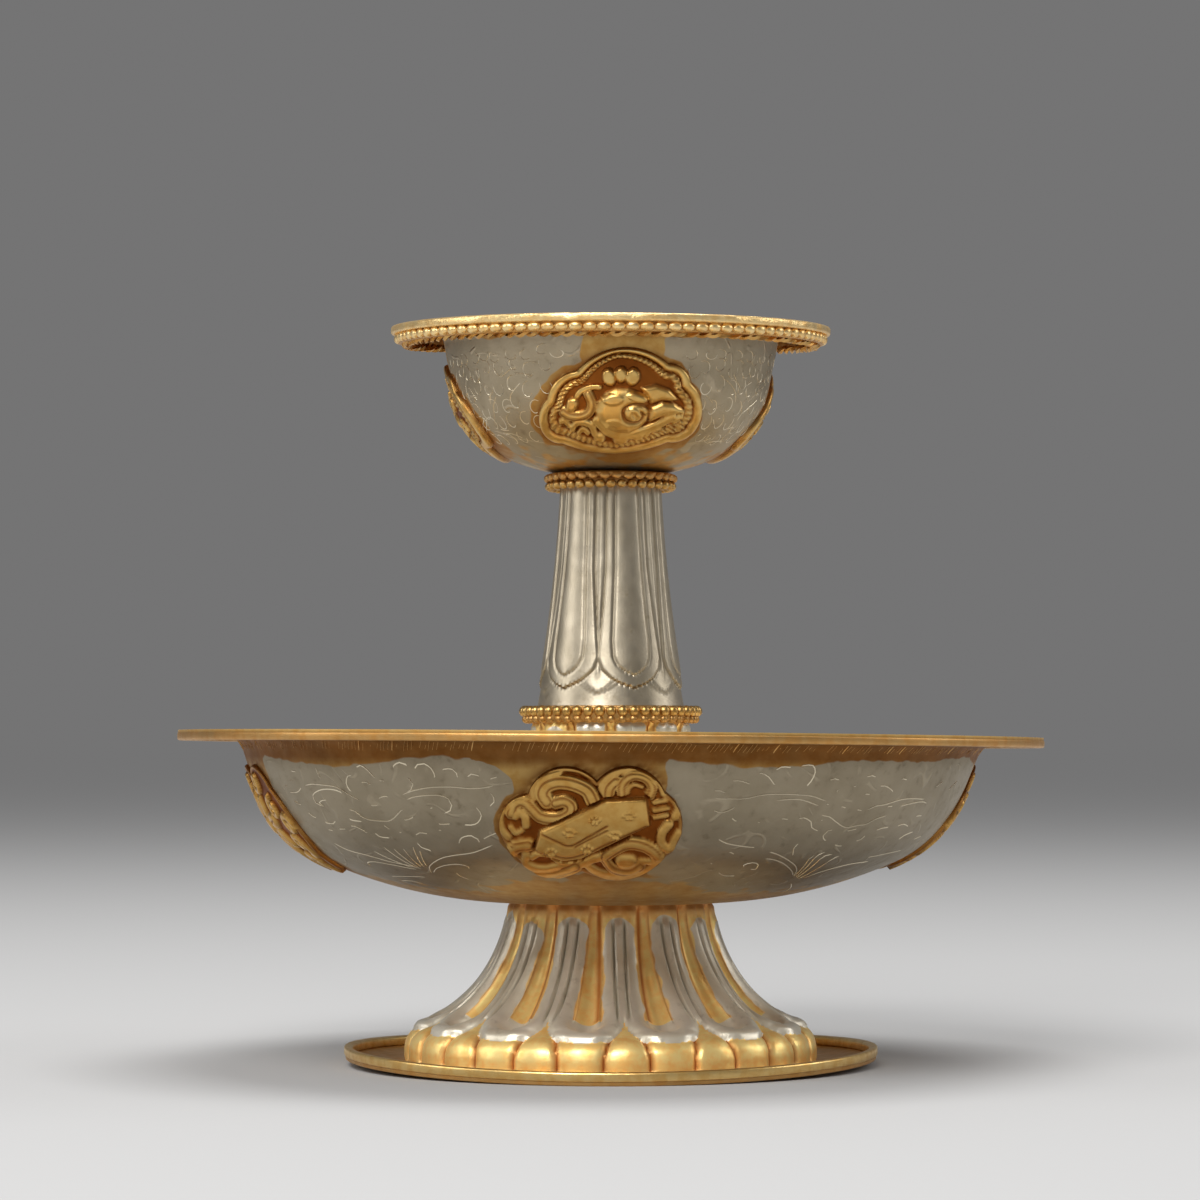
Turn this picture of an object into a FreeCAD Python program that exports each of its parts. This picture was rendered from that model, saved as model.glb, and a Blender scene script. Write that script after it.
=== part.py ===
import FreeCAD, Part
import Sketcher
import os
from math import atan2, cos, pi, radians, sin, sqrt

# Offering bowl: a wide flanged bowl on a lotus foot, with a loose goblet standing in it.
# Millimetres. +Z is up, the origin is under the centre of the foot plate, and the side
# that faces the viewer is -Y. Raised and chased sheet, beaded and twisted wires soldered on.

Vector = FreeCAD.Vector
H_AXIS = -1
V_AXIS = -2
ORIGIN = (-1, 1)
START = 1
END = 2
CENTRE = 3
CUTTER_START = 150
PLAQUE_SPAN = 90
TRIM_MARGIN = 1.2

# ---------------------------------------------------------------- the sheet of sizes

SIZES = (
    ("foot_plate_radius", 36.8, "foot plate, outer radius"),
    ("foot_plate_sheet", 0.5, "foot plate, thickness"),
    ("foot_edge_width", 1.0, "square wire on the foot plate's edge, radial width"),
    ("foot_edge_height", 1.3, "square wire on the foot plate's edge, height"),

    ("lotus_height", 22.0, "lotus foot, plate to bowl"),
    ("lotus_top_radius", 14.0, "lotus foot, outer radius under the bowl"),
    ("lotus_lip_radius", 25.2, "lotus foot, outer radius where the petals end"),
    ("lotus_lip_height", 5.1, "lotus foot, height of the petals' ends above the plate"),
    ("lotus_sweep", 21.4, "lotus foot, radius of the hollow curve up its side"),
    ("lotus_skirt_radius", 28.5, "lotus foot, outer radius on the plate"),
    ("lotus_skirt_height", 4.1, "lotus foot, height of the lobed skirt's edge"),
    ("lotus_skirt_inset", 0.4, "lotus foot, how far the skirt leans in at its edge"),
    ("lotus_sheet", 1.9, "lotus foot, wall"),
    ("lotus_petals", 14, "lotus foot, count of petals"),
    ("lotus_lobes", 28, "lotus foot, count of lobes round the skirt"),
    ("lotus_turn", 261.5, "lotus foot, turn of the first petal from +X, degrees"),
    ("lotus_flute_radius", 2.6, "lotus foot, radius of the hollow in a petal"),
    ("lotus_flute_depth", 0.75, "lotus foot, depth of the hollow at mid height"),
    ("lotus_flute_spread", 1.2, "lotus foot, shift that widens the hollow downward"),
    ("lotus_petal_rim", 1.2, "lotus foot, rim left below the hollow"),
    ("lotus_groove_radius", 0.6, "lotus foot, radius of the grooves between lobes"),
    ("lotus_groove_depth", 0.5, "lotus foot, depth of the grooves between lobes"),

    ("bowl_depth", 22.3, "bowl, underside of the floor to underside of the flange"),
    ("bowl_floor_radius", 13.0, "bowl, radius of the flat underside"),
    ("bowl_sweep_beyond_rim", 5.0, "bowl, radius of the floor's curve less the rim radius"),
    ("bowl_side_bend", 18.0, "bowl, radius of the bend up into the side"),
    ("bowl_side_angle", 68.0, "bowl, slope of the side from level, degrees"),
    ("bowl_lip_bend", 3.0, "bowl, radius of the bend out into the flange"),
    ("bowl_flange_width", 6.2, "bowl, width of the flat part of the flange"),
    ("bowl_rim_radius", 60.0, "bowl, outer radius of the flange"),
    ("bowl_sheet", 0.7, "bowl, wall and flange thickness"),
    ("bowl_floor_sheet", 1.25, "bowl, floor thickness, planished flat inside"),
    ("bowl_edge_width", 1.4, "wire under the bowl's edge, radial width"),
    ("bowl_edge_height", 0.7, "wire under the bowl's edge, height"),

    ("bowl_medallion_width", 24.6, "bowl medallion, width over the side lobes"),
    ("bowl_medallion_height", 15.2, "bowl medallion, height over the lobes"),
    ("bowl_medallion_middle", 11.3, "bowl medallion, centre above the bowl's underside"),
    ("bowl_medallion_notch_x", 9.4, "bowl medallion, notch beside a side lobe, across"),
    ("bowl_medallion_notch_z", 4.2, "bowl medallion, notch beside a side lobe, up"),
    ("bowl_medallion_waist", 5.7, "bowl medallion, notch between two lobes, up"),
    ("bowl_medallion_sheet", 0.8, "bowl medallion, how far it stands proud"),
    ("bowl_medallion_front", 266.7, "bowl medallion at the front, turn from +X, degrees"),
    ("bowl_medallion_left", 191.0, "bowl medallion at the left, turn from +X, degrees"),
    ("bowl_medallion_right", 4.0, "bowl medallion at the right, turn from +X, degrees"),
    ("bowl_medallion_back", 98.0, "bowl medallion at the back, turn from +X, degrees"),

    ("goblet_plate_radius", 19.0, "goblet's foot plate, outer radius"),
    ("goblet_plate_sheet", 0.5, "goblet's foot plate, thickness"),
    ("goblet_edge_width", 0.8, "wire on the goblet's foot plate, radial width"),
    ("goblet_edge_height", 0.9, "wire on the goblet's foot plate, height"),

    ("goblet_foot_height", 23.15, "goblet's foot, plate to the beaded ring"),
    ("goblet_foot_top_radius", 10.9, "goblet's foot, outer radius under the ring"),
    ("goblet_foot_lip_radius", 15.6, "goblet's foot, outer radius where petals end"),
    ("goblet_foot_lip_height", 3.2, "goblet's foot, height of the petals' ends"),
    ("goblet_foot_sweep", 40.0, "goblet's foot, radius of the hollow curve up its side"),
    ("goblet_foot_skirt_radius", 17.2, "goblet's foot, outer radius on its plate"),
    ("goblet_foot_skirt_height", 2.5, "goblet's foot, height of the skirt's edge"),
    ("goblet_foot_skirt_inset", 0.3, "goblet's foot, how far the skirt leans in"),
    ("goblet_foot_sheet", 1.2, "goblet's foot, wall"),
    ("goblet_foot_petals", 12, "goblet's foot, count of petals"),
    ("goblet_foot_lobes", 24, "goblet's foot, count of lobes round the skirt"),
    ("goblet_foot_turn", 270.0, "goblet's foot, turn of the first petal, degrees"),
    ("goblet_foot_flute_radius", 1.6, "goblet's foot, radius of the hollow in a petal"),
    ("goblet_foot_flute_depth", 0.5, "goblet's foot, depth of the hollow"),
    ("goblet_foot_flute_spread", 0.6, "goblet's foot, shift that widens the hollow"),
    ("goblet_foot_petal_rim", 0.9, "goblet's foot, rim left below the hollow"),
    ("goblet_foot_groove_radius", 0.45, "goblet's foot, radius of the skirt's grooves"),
    ("goblet_foot_groove_depth", 0.35, "goblet's foot, depth of the skirt's grooves"),

    ("ring_height", 2.3, "ring between foot and stem, height"),
    ("ring_radius", 11.1, "ring between foot and stem, outer radius"),
    ("ring_hole_radius", 8.0, "ring between foot and stem, radius of its hole"),
    ("ring_bead_seat", 0.05, "beaded strip on the ring, backing left behind the beads"),
    ("ring_beading_height", 1.9, "beaded strip on the ring, backing height"),
    ("ring_bead_radius", 0.85, "beaded strip on the ring, radius of a bead"),
    ("ring_bead_count", 48, "beaded strip on the ring, count of beads"),

    ("stem_height", 31.5, "stem, ring to collar"),
    ("stem_foot_radius", 10.2, "stem, outer radius at the ring"),
    ("stem_neck_radius", 6.6, "stem, outer radius at the collar"),
    ("stem_sweep", 230.0, "stem, radius of the hollow curve up its side"),
    ("stem_sheet", 0.8, "stem, wall"),

    ("collar_radius", 9.2, "collar under the cup, outer radius"),
    ("collar_sheet", 0.8, "collar under the cup, thickness"),
    ("collar_bead_radius", 0.78, "beaded wire under the collar, radius of a bead"),
    ("collar_bead_count", 34, "beaded wire under the collar, count of beads"),
    ("collar_core_width", 0.7, "beaded wire under the collar, width of its core"),
    ("collar_bead_drop", 0.08, "beaded wire under the collar, core above the beads"),

    ("cup_depth", 20.1, "cup, underside of the floor to underside of the flange"),
    ("cup_floor_radius", 4.0, "cup, radius of the flat underside"),
    ("cup_floor_sweep", 25.0, "cup, radius of the curve beyond the floor"),
    ("cup_side_bend", 12.0, "cup, radius of the bend up into the side"),
    ("cup_side_angle", 80.0, "cup, slope of the side from level, degrees"),
    ("cup_lip_bend", 1.6, "cup, radius of the bend out into the flange"),
    ("cup_flange_width", 5.6, "cup, width of the flat part of the flange"),
    ("cup_rim_radius", 30.5, "cup, outer radius of the flange"),
    ("cup_sheet", 0.8, "cup, wall and flange thickness"),
    ("cup_floor_sheet", 1.0, "cup, floor thickness"),
    ("cup_bead_radius", 0.97, "beaded wire under the cup's rim, radius of a bead"),
    ("cup_bead_count", 98, "beaded wire under the cup's rim, count of beads"),
    ("cup_bead_inset", 0.05, "beaded wire under the cup's rim, set back from the edge"),
    ("cup_core_width", 0.9, "beaded wire under the cup's rim, width of its core"),
    ("cup_bead_drop", 0.08, "beaded wire under the cup's rim, core above the beads"),
    ("cup_twist_radius", 0.5, "twisted wire inside the beads, radius"),
    ("cup_twist_gap", 0.05, "twisted wire inside the beads, gap between them"),

    ("cup_medallion_width", 23.8, "cup medallion, width over the side lobes"),
    ("cup_medallion_crest", 7.2, "cup medallion, top above its middle"),
    ("cup_medallion_base", 7.1, "cup medallion, bottom below its middle"),
    ("cup_medallion_middle", 9.65, "cup medallion, middle above the cup's underside"),
    ("cup_medallion_shoulder_x", 5.8, "cup medallion, notch beside the crest, across"),
    ("cup_medallion_shoulder_z", 4.3, "cup medallion, notch beside the crest, up"),
    ("cup_medallion_waist_x", 9.6, "cup medallion, notch above a side lobe, across"),
    ("cup_medallion_waist_z", 1.1, "cup medallion, notch above a side lobe, up"),
    ("cup_medallion_foot_x", 6.5, "cup medallion, notch beside the base, across"),
    ("cup_medallion_foot_z", 5.6, "cup medallion, notch beside the base, down"),
    ("cup_medallion_shoulder", 3.6, "cup medallion, radius of a shoulder"),
    ("cup_medallion_sheet", 0.7, "cup medallion, how far it stands proud"),
    ("cup_medallion_front", 272.0, "cup medallion at the front, turn from +X, degrees"),
    ("cup_medallion_left", 170.0, "cup medallion at the left, turn from +X, degrees"),
    ("cup_medallion_right", 18.0, "cup medallion at the right, turn from +X, degrees"),
    ("cup_medallion_back", 94.0, "cup medallion at the back, turn from +X, degrees"),
)

doc = FreeCAD.newDocument("offering_bowl")
sheet = doc.addObject("Spreadsheet::Sheet", "Sizes")
for row, (alias, number, note) in enumerate(SIZES, start=1):
    sheet.set(f"A{row}", note)
    sheet.set(f"B{row}", str(number))
    sheet.setAlias(f"B{row}", alias)
doc.recompute()

# Heights where one piece seats on another, worked up from the table.
BOWL_SEAT = "(Sizes.foot_plate_sheet + Sizes.lotus_height)"
BOWL_RIM = f"({BOWL_SEAT} + Sizes.bowl_depth)"
GOBLET_SEAT = f"({BOWL_SEAT} + Sizes.bowl_floor_sheet)"
GOBLET_PLATE_TOP = f"({GOBLET_SEAT} + Sizes.goblet_plate_sheet)"
RING_SEAT = f"({GOBLET_PLATE_TOP} + Sizes.goblet_foot_height)"
STEM_SEAT = f"({RING_SEAT} + Sizes.ring_height)"
COLLAR_SEAT = f"({STEM_SEAT} + Sizes.stem_height)"
CUP_SEAT = f"({COLLAR_SEAT} + Sizes.collar_sheet)"
CUP_RIM = f"({CUP_SEAT} + Sizes.cup_depth)"

# Radius of the curve beyond each vessel's floor; the bowl's widens with its rim.
SWEEPS = {
    "bowl": "(Sizes.bowl_rim_radius + Sizes.bowl_sweep_beyond_rim)",
    "cup": "Sizes.cup_floor_sweep",
}


def value(expression):
    """The number that an expression on the sheet gives now."""
    return float(sheet.evalExpression(expression))


def size_of(size, name):
    """The sheet's name for one size of a piece."""
    return f"Sizes.{size}_{name}"


# ---------------------------------------------------------------- bodies and sketches

pieces = []


def new_piece(label, height="0", turn="0"):
    """A body at its height on the axis, turned about the axis."""
    body = doc.addObject("PartDesign::Body", label)
    body.Label = label
    body.setExpression(
        "Placement",
        f"placement(vector(0; 0; {height}); rotation(vector(0; 0; 1); {turn}))",
    )
    pieces.append(body)
    return body


def origin_feature(body, role):
    return next(feature for feature in body.Origin.OriginFeatures if feature.Role == role)


def new_sketch(body, name, role):
    sketch = body.newObject("Sketcher::SketchObject", name)
    sketch.AttachmentSupport = [(origin_feature(body, role), "")]
    sketch.MapMode = "FlatFace"
    return sketch


def bind(sketch, kind, geometry, expression):
    """Add a dimension that follows the sheet."""
    number = radians(value(expression)) if kind == "Angle" else value(expression)
    index = sketch.addConstraint(Sketcher.Constraint(kind, *geometry, number))
    unit = " * 1 deg" if kind == "Angle" else ""
    sketch.setExpression(f"Constraints[{index}]", expression + unit)


def tie(sketch, kind, *geometry):
    sketch.addConstraint(Sketcher.Constraint(kind, *geometry))


def place_point(sketch, geometry, point, across, up):
    """Tie a point to its distances from the sketch's origin."""
    for axis, kind, expression in ((V_AXIS, "DistanceX", across), (H_AXIS, "DistanceY", up)):
        if expression == "0":
            tie(sketch, "PointOnObject", geometry, point, axis)
        else:
            bind(sketch, kind, (*ORIGIN, geometry, point), expression)


def arc_about(centre, start, end, anticlockwise):
    """An arc of a sketch, and which of its ends are at start and at end."""
    first, last = (start, end) if anticlockwise else (end, start)
    begin = atan2(first.y - centre.y, first.x - centre.x)
    finish = atan2(last.y - centre.y, last.x - centre.x)
    if finish < begin:
        finish += 2 * pi
    circle = Part.Circle(centre, Vector(0, 0, 1), (first - centre).Length)
    ends = (START, END) if anticlockwise else (END, START)
    return Part.ArcOfCircle(circle, begin, finish), ends


def arc_between(start, end, radius, side):
    """The short arc from start to end whose centre is left (1) or right (-1) of it."""
    chord = end - start
    reach = sqrt(radius**2 - chord.Length**2 / 4)
    left = Vector(-chord.y, chord.x, 0) / chord.Length
    centre = (start + end) / 2 + left * (side * reach)
    return arc_about(centre, start, end, side > 0)


def draw_outline(sketch, corners, arcs=None):
    """Draw a closed outline through corners given as pairs of expressions.

    arcs gives, for the edge that leaves a corner, its radius and the side of its centre.
    """
    arcs = arcs or {}
    points = [Vector(value(across), value(up), 0) for across, up in corners]
    edges = []
    for index, start in enumerate(points):
        end = points[(index + 1) % len(points)]
        if index in arcs:
            radius, side = arcs[index]
            curve, ends = arc_between(start, end, value(radius), side)
        else:
            curve, ends = Part.LineSegment(start, end), (START, END)
        edges.append((sketch.addGeometry(curve, False), ends))
    for index, (edge, ends) in enumerate(edges):
        before, before_ends = edges[index - 1]
        tie(sketch, "Coincident", before, before_ends[1], edge, ends[0])
        place_point(sketch, edge, ends[0], *corners[index])
        if index in arcs:
            bind(sketch, "Radius", (edge,), arcs[index][0])


def revolve(body, sketch, name="turned", angle=360):
    feature = body.newObject("PartDesign::Revolution", name)
    feature.Profile = sketch
    feature.ReferenceAxis = (sketch, ["V_Axis"])
    feature.Angle = angle
    feature.Midplane = angle < 360
    return feature


def repeat(body, feature, count, name="repeated"):
    """Repeat a feature round the body's upright axis."""
    pattern = body.newObject("PartDesign::PolarPattern", name)
    pattern.Originals = [feature]
    pattern.Axis = (origin_feature(body, "Z_Axis"), [""])
    pattern.Angle = 360
    pattern.setExpression("Occurrences", count)
    body.Tip = pattern
    return pattern


def attach(body, feature, role, across="0", up="0", out="0"):
    """Seat a primitive feature on one of the body's own planes, moved along it and out."""
    feature.AttachmentSupport = [(origin_feature(body, role), "")]
    feature.MapMode = "FlatFace"
    for letter, expression in (("x", across), ("y", up), ("z", out)):
        if expression != "0":
            feature.setExpression(f"AttachmentOffset.Base.{letter}", expression)


def turned_ring(label, height, inner, outer, low, high):
    """A ring or disc of rectangular section, turned about the axis."""
    body = new_piece(label, height)
    section = new_sketch(body, "section", "XZ_Plane")
    draw_outline(section, [(inner, low), (outer, low), (outer, high), (inner, high)])
    revolve(body, section)
    return body


# ---------------------------------------------------------------- fluted feet

def fluted_foot(label, size, height):
    """A flared foot with a hollow fluted side and a lobed skirt, soldered on its plate.

    The side is an arc whose centre lies outside the foot. Each petal's hollow is cut by
    a tube bent round that same centre, and ends short of the petals' ends by their rim.
    """
    body = new_piece(label, height, f"Sizes.{size}_turn")
    top, lip, wall = (size_of(size, name) for name in ("top_radius", "lip_radius", "sheet"))
    full, lip_up, sweep = (size_of(size, name) for name in ("height", "lip_height", "sweep"))
    skirt, skirt_up = size_of(size, "skirt_radius"), size_of(size, "skirt_height")
    skirt_edge = f"({skirt} - Sizes.{size}_skirt_inset)"

    section = new_sketch(body, "section", "XZ_Plane")
    draw_outline(
        section,
        [
            (top, full),
            (f"{top} - {wall}", full),
            (f"{lip} - {wall}", f"{lip_up} - {wall} / 2"),
            (f"{skirt} - {wall}", "0"),
            (skirt, "0"),
            (skirt_edge, skirt_up),
            (lip, lip_up),
        ],
        {1: (f"{sweep} + {wall}", 1), 6: (sweep, -1)},
    )
    revolve(body, section)

    across = f"({lip} - {top})"
    drop = f"({full} - {lip_up})"
    chord = f"sqrt({across} ^ 2 + {drop} ^ 2)"
    reach = f"sqrt({sweep} ^ 2 - ({across} ^ 2 + {drop} ^ 2) / 4)"
    centre_x = f"(({lip} + {top}) / 2 + {reach} * {drop} / {chord})"
    centre_z = f"(({full} + {lip_up}) / 2 + {reach} * {across} / {chord})"
    spread = f"Sizes.{size}_flute_spread"

    hollow = body.newObject("PartDesign::SubtractiveTorus", "hollow")
    attach(
        body, hollow, "XZ_Plane",
        f"{centre_x} + {spread} * {across} / {chord}",
        f"{centre_z} - {spread} * {drop} / {chord}",
    )
    hollow.AttachmentOffset = FreeCAD.Placement(
        hollow.AttachmentOffset.Base, FreeCAD.Rotation(Vector(0, 0, 1), CUTTER_START)
    )
    hollow.setExpression(
        "Radius1", f"{sweep} + Sizes.{size}_flute_depth - Sizes.{size}_flute_radius"
    )
    hollow.setExpression("Radius2", f"Sizes.{size}_flute_radius")
    hollow.setExpression(
        "Angle3",
        f"180 deg + acos(({centre_x} - {lip}) / {sweep}) - {CUTTER_START} deg"
        f" - Sizes.{size}_petal_rim / {sweep} * 1 rad",
    )
    repeat(body, hollow, f"Sizes.{size}_petals", "hollows")

    groove = body.newObject("PartDesign::SubtractiveCylinder", "groove")
    groove_circle = f"({skirt} + Sizes.{size}_groove_radius - Sizes.{size}_groove_depth)"
    half_step = f"(180 deg / Sizes.{size}_lobes)"
    attach(
        body, groove, "XY_Plane",
        f"{groove_circle} * cos({half_step})",
        f"{groove_circle} * sin({half_step})",
    )
    groove.setExpression("Radius", f"Sizes.{size}_groove_radius")
    groove.setExpression("Height", lip_up)
    repeat(body, groove, f"Sizes.{size}_lobes", "grooves")
    return body


# ---------------------------------------------------------------- raised walls

def wall_chain(size, offset, floor_height):
    """Points and centres of a raised wall, offset outward from its outer face.

    Floor, shallow sweep, side bend, straight side, lip bend and flange follow each other
    without a corner. The numbers start the sketch, whose ties then hold the shape.
    """
    number = lambda name: value(f"Sizes.{size}_{name}")
    depth, floor, sweep = number("depth"), number("floor_radius"), value(SWEEPS[size])
    bend, lip = number("side_bend"), number("lip_bend")
    angle = radians(number("side_angle"))
    along = Vector(cos(angle), sin(angle), 0)
    inward = Vector(-sin(angle), cos(angle), 0)
    lip_centre = Vector(number("rim_radius") - number("flange_width"), depth - lip, 0)
    mouth = lip_centre + inward * lip
    sweep_centre = Vector(floor, sweep, 0)
    reach = mouth + inward * bend - sweep_centre
    forward = reach.dot(along)
    run = forward + sqrt(forward**2 - reach.dot(reach) + (sweep - bend) ** 2)
    bend_centre = mouth + inward * bend - along * run
    outward = (bend_centre - sweep_centre).normalize()
    floor_end = floor + sqrt((sweep + offset) ** 2 - (sweep - floor_height) ** 2)
    points = (
        Vector(0, floor_height, 0),
        Vector(floor_end, floor_height, 0),
        sweep_centre + outward * (sweep + offset),
        bend_centre - inward * (bend + offset),
        lip_centre + inward * (lip - offset),
        lip_centre + Vector(0, lip - offset, 0),
        Vector(number("rim_radius"), depth - offset, 0),
    )
    return points, (sweep_centre, bend_centre, lip_centre)


def draw_chain(sketch, size, offset, floor_height):
    """Draw one face of a raised wall and tie its runs tangent to each other."""
    points, centres = wall_chain(size, offset, floor_height)
    sweep_centre, bend_centre, lip_centre = centres
    curves = (
        (Part.LineSegment(points[0], points[1]), (START, END)),
        arc_about(sweep_centre, points[1], points[2], True),
        arc_about(bend_centre, points[2], points[3], True),
        (Part.LineSegment(points[3], points[4]), (START, END)),
        arc_about(lip_centre, points[4], points[5], False),
        (Part.LineSegment(points[5], points[6]), (START, END)),
    )
    runs = [(sketch.addGeometry(curve, False), ends) for curve, ends in curves]
    for (before, before_ends), (after, after_ends) in zip(runs[1:], runs[2:]):
        tie(sketch, "Tangent", before, before_ends[1], after, after_ends[0])
    tie(sketch, "PointOnObject", runs[0][0], START, V_AXIS)
    tie(sketch, "Horizontal", runs[0][0])
    tie(sketch, "Horizontal", runs[5][0])
    return [run for run, ends in runs]


def wall_section(body, size, offset, floor_height):
    """The closed section between a wall's outer face and a face offset from it."""
    sketch = new_sketch(body, "section", "XZ_Plane")
    floor, sweep, bend, side, lip, flange = draw_chain(sketch, size, 0, 0)
    tie(sketch, "Tangent", floor, END, sweep, START)
    tie(sketch, "PointOnObject", floor, START, H_AXIS)
    bind(sketch, "DistanceX", (*ORIGIN, floor, END), f"Sizes.{size}_floor_radius")
    bind(sketch, "Radius", (sweep,), SWEEPS[size])
    bind(sketch, "Radius", (bend,), f"Sizes.{size}_side_bend")
    bind(sketch, "Angle", (side,), f"Sizes.{size}_side_angle")
    bind(sketch, "Radius", (lip,), f"Sizes.{size}_lip_bend")
    rim = f"Sizes.{size}_rim_radius"
    place_point(sketch, flange, END, rim, f"Sizes.{size}_depth")
    bind(sketch, "DistanceX", (*ORIGIN, flange, START), f"{rim} - Sizes.{size}_flange_width")

    faces = draw_chain(sketch, size, value(offset), value(floor_height))
    far_floor, far_sweep, far_bend, far_side, far_lip, far_flange = faces
    tie(sketch, "Coincident", far_floor, END, far_sweep, START)
    bind(sketch, "DistanceY", (*ORIGIN, far_floor, START), floor_height)
    bind(sketch, "Radius", (far_sweep,), f"{SWEEPS[size]} + {offset}")
    tie(sketch, "Coincident", far_sweep, CENTRE, sweep, CENTRE)
    tie(sketch, "Coincident", far_bend, CENTRE, bend, CENTRE)
    tie(sketch, "Parallel", far_side, side)
    tie(sketch, "Coincident", far_lip, CENTRE, lip, CENTRE)

    points = (sketch.getPoint(flange, END), sketch.getPoint(far_flange, END))
    edge = sketch.addGeometry(Part.LineSegment(*points), False)
    tie(sketch, "Coincident", flange, END, edge, START)
    tie(sketch, "Coincident", edge, END, far_flange, END)
    tie(sketch, "Vertical", edge)
    points = (sketch.getPoint(floor, START), sketch.getPoint(far_floor, START))
    axis = sketch.addGeometry(Part.LineSegment(*points), False)
    tie(sketch, "Coincident", floor, START, axis, START)
    tie(sketch, "Coincident", axis, END, far_floor, START)
    return sketch


def raised_vessel(label, size, height):
    """A bowl raised from sheet: floor, curved side and flat flange in one wall."""
    body = new_piece(label, height)
    section = wall_section(
        body, size, f"(-Sizes.{size}_sheet)", f"Sizes.{size}_floor_sheet"
    )
    revolve(body, section)
    return body


# ---------------------------------------------------------------- medallions

def medallion(label, size, height, turn, corners, arcs):
    """A plaque that follows the vessel's side, cut to its lobed outline.

    The layer over the vessel's outer face is turned through part of a circle, and all
    that lies outside the outline, seen from the front of the plaque, is cut away.
    """
    body = new_piece(label, height, turn)
    plaque = f"Sizes.{size}_medallion_sheet"
    section = wall_section(body, size, plaque, f"(-{plaque} / 2)")
    revolve(body, section, "layer", PLAQUE_SPAN)

    frame = new_sketch(body, "outline", "YZ_Plane")
    draw_outline(frame, corners, arcs)
    wide = f"{size_of(size, 'rim_radius')} * {TRIM_MARGIN}"
    low = f"(-{size_of(size, 'depth')})"
    high = f"{size_of(size, 'depth')} * 2"
    draw_outline(frame, [(f"-{wide}", low), (wide, low), (wide, high), (f"-{wide}", high)])
    cut = body.newObject("PartDesign::Pocket", "trimmed")
    cut.Profile = frame
    cut.Type = 1
    cut.Reversed = True
    return body


def bowl_medallion(side):
    """Six lobes: two above, two below and one at each side."""
    middle = "Sizes.bowl_medallion_middle"
    notch_x, notch_z = "Sizes.bowl_medallion_notch_x", "Sizes.bowl_medallion_notch_z"
    waist = "Sizes.bowl_medallion_waist"
    rise = f"(Sizes.bowl_medallion_height / 2 - ({waist} + {notch_z}) / 2)"
    half_lobe = f"(sqrt({notch_x} ^ 2 + ({waist} - {notch_z}) ^ 2) / 2)"
    lobe = f"({half_lobe} ^ 2 / (2 * {rise}) + {rise} / 2)"
    bulge = f"(Sizes.bowl_medallion_width / 2 - {notch_x})"
    side_lobe = f"({notch_z} ^ 2 / (2 * {bulge}) + {bulge} / 2)"
    corners = [
        ("0", f"{middle} + {waist}"),
        (f"-{notch_x}", f"{middle} + {notch_z}"),
        (f"-{notch_x}", f"{middle} - {notch_z}"),
        ("0", f"{middle} - {waist}"),
        (notch_x, f"{middle} - {notch_z}"),
        (notch_x, f"{middle} + {notch_z}"),
    ]
    arcs = {0: (lobe, 1), 1: (side_lobe, 1), 2: (lobe, 1)}
    arcs.update({3: (lobe, 1), 4: (side_lobe, 1), 5: (lobe, 1)})
    turn = f"Sizes.bowl_medallion_{side}"
    return medallion(f"bowl_medallion_{side}", "bowl", BOWL_SEAT, turn, corners, arcs)


def cup_medallion(side):
    """A crest, two shoulders, two side lobes and a shallow base."""
    middle = "Sizes.cup_medallion_middle"
    shoulder_x, shoulder_z = "Sizes.cup_medallion_shoulder_x", "Sizes.cup_medallion_shoulder_z"
    waist_x, waist_z = "Sizes.cup_medallion_waist_x", "Sizes.cup_medallion_waist_z"
    foot_x, foot_z = "Sizes.cup_medallion_foot_x", "Sizes.cup_medallion_foot_z"
    rise = f"(Sizes.cup_medallion_crest - {shoulder_z})"
    crest = f"({shoulder_x} ^ 2 / (2 * {rise}) + {rise} / 2)"
    sag = f"(Sizes.cup_medallion_base - {foot_z})"
    base = f"({foot_x} ^ 2 / (2 * {sag}) + {sag} / 2)"
    shoulder = "Sizes.cup_medallion_shoulder"
    half_gap = f"(hypot({waist_x} - {foot_x}; {waist_z} + {foot_z}) / 2)"
    bulge = f"(Sizes.cup_medallion_width / 2 - ({waist_x} + {foot_x}) / 2)"
    side_lobe = f"({half_gap} ^ 2 / (2 * {bulge}) + {bulge} / 2)"
    corners = [
        (shoulder_x, f"{middle} + {shoulder_z}"),
        (f"-{shoulder_x}", f"{middle} + {shoulder_z}"),
        (f"-{waist_x}", f"{middle} + {waist_z}"),
        (f"-{foot_x}", f"{middle} - {foot_z}"),
        (foot_x, f"{middle} - {foot_z}"),
        (waist_x, f"{middle} + {waist_z}"),
    ]
    arcs = {0: (crest, 1), 1: (shoulder, 1), 2: (side_lobe, 1)}
    arcs.update({3: (base, 1), 4: (side_lobe, 1), 5: (shoulder, 1)})
    turn = f"Sizes.cup_medallion_{side}"
    return medallion(f"cup_medallion_{side}", "cup", CUP_SEAT, turn, corners, arcs)


# ---------------------------------------------------------------- beaded and twisted wires

def add_beads(body, circle, centre, bead_radius, count):
    """Round beads on a circle about the axis, fused to what the body holds already."""
    bead = body.newObject("PartDesign::AdditiveSphere", "bead")
    attach(body, bead, "XY_Plane", circle, "0", centre)
    bead.setExpression("Radius", bead_radius)
    bead.Refine = False
    repeat(body, bead, count, "beads").Refine = False


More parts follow.
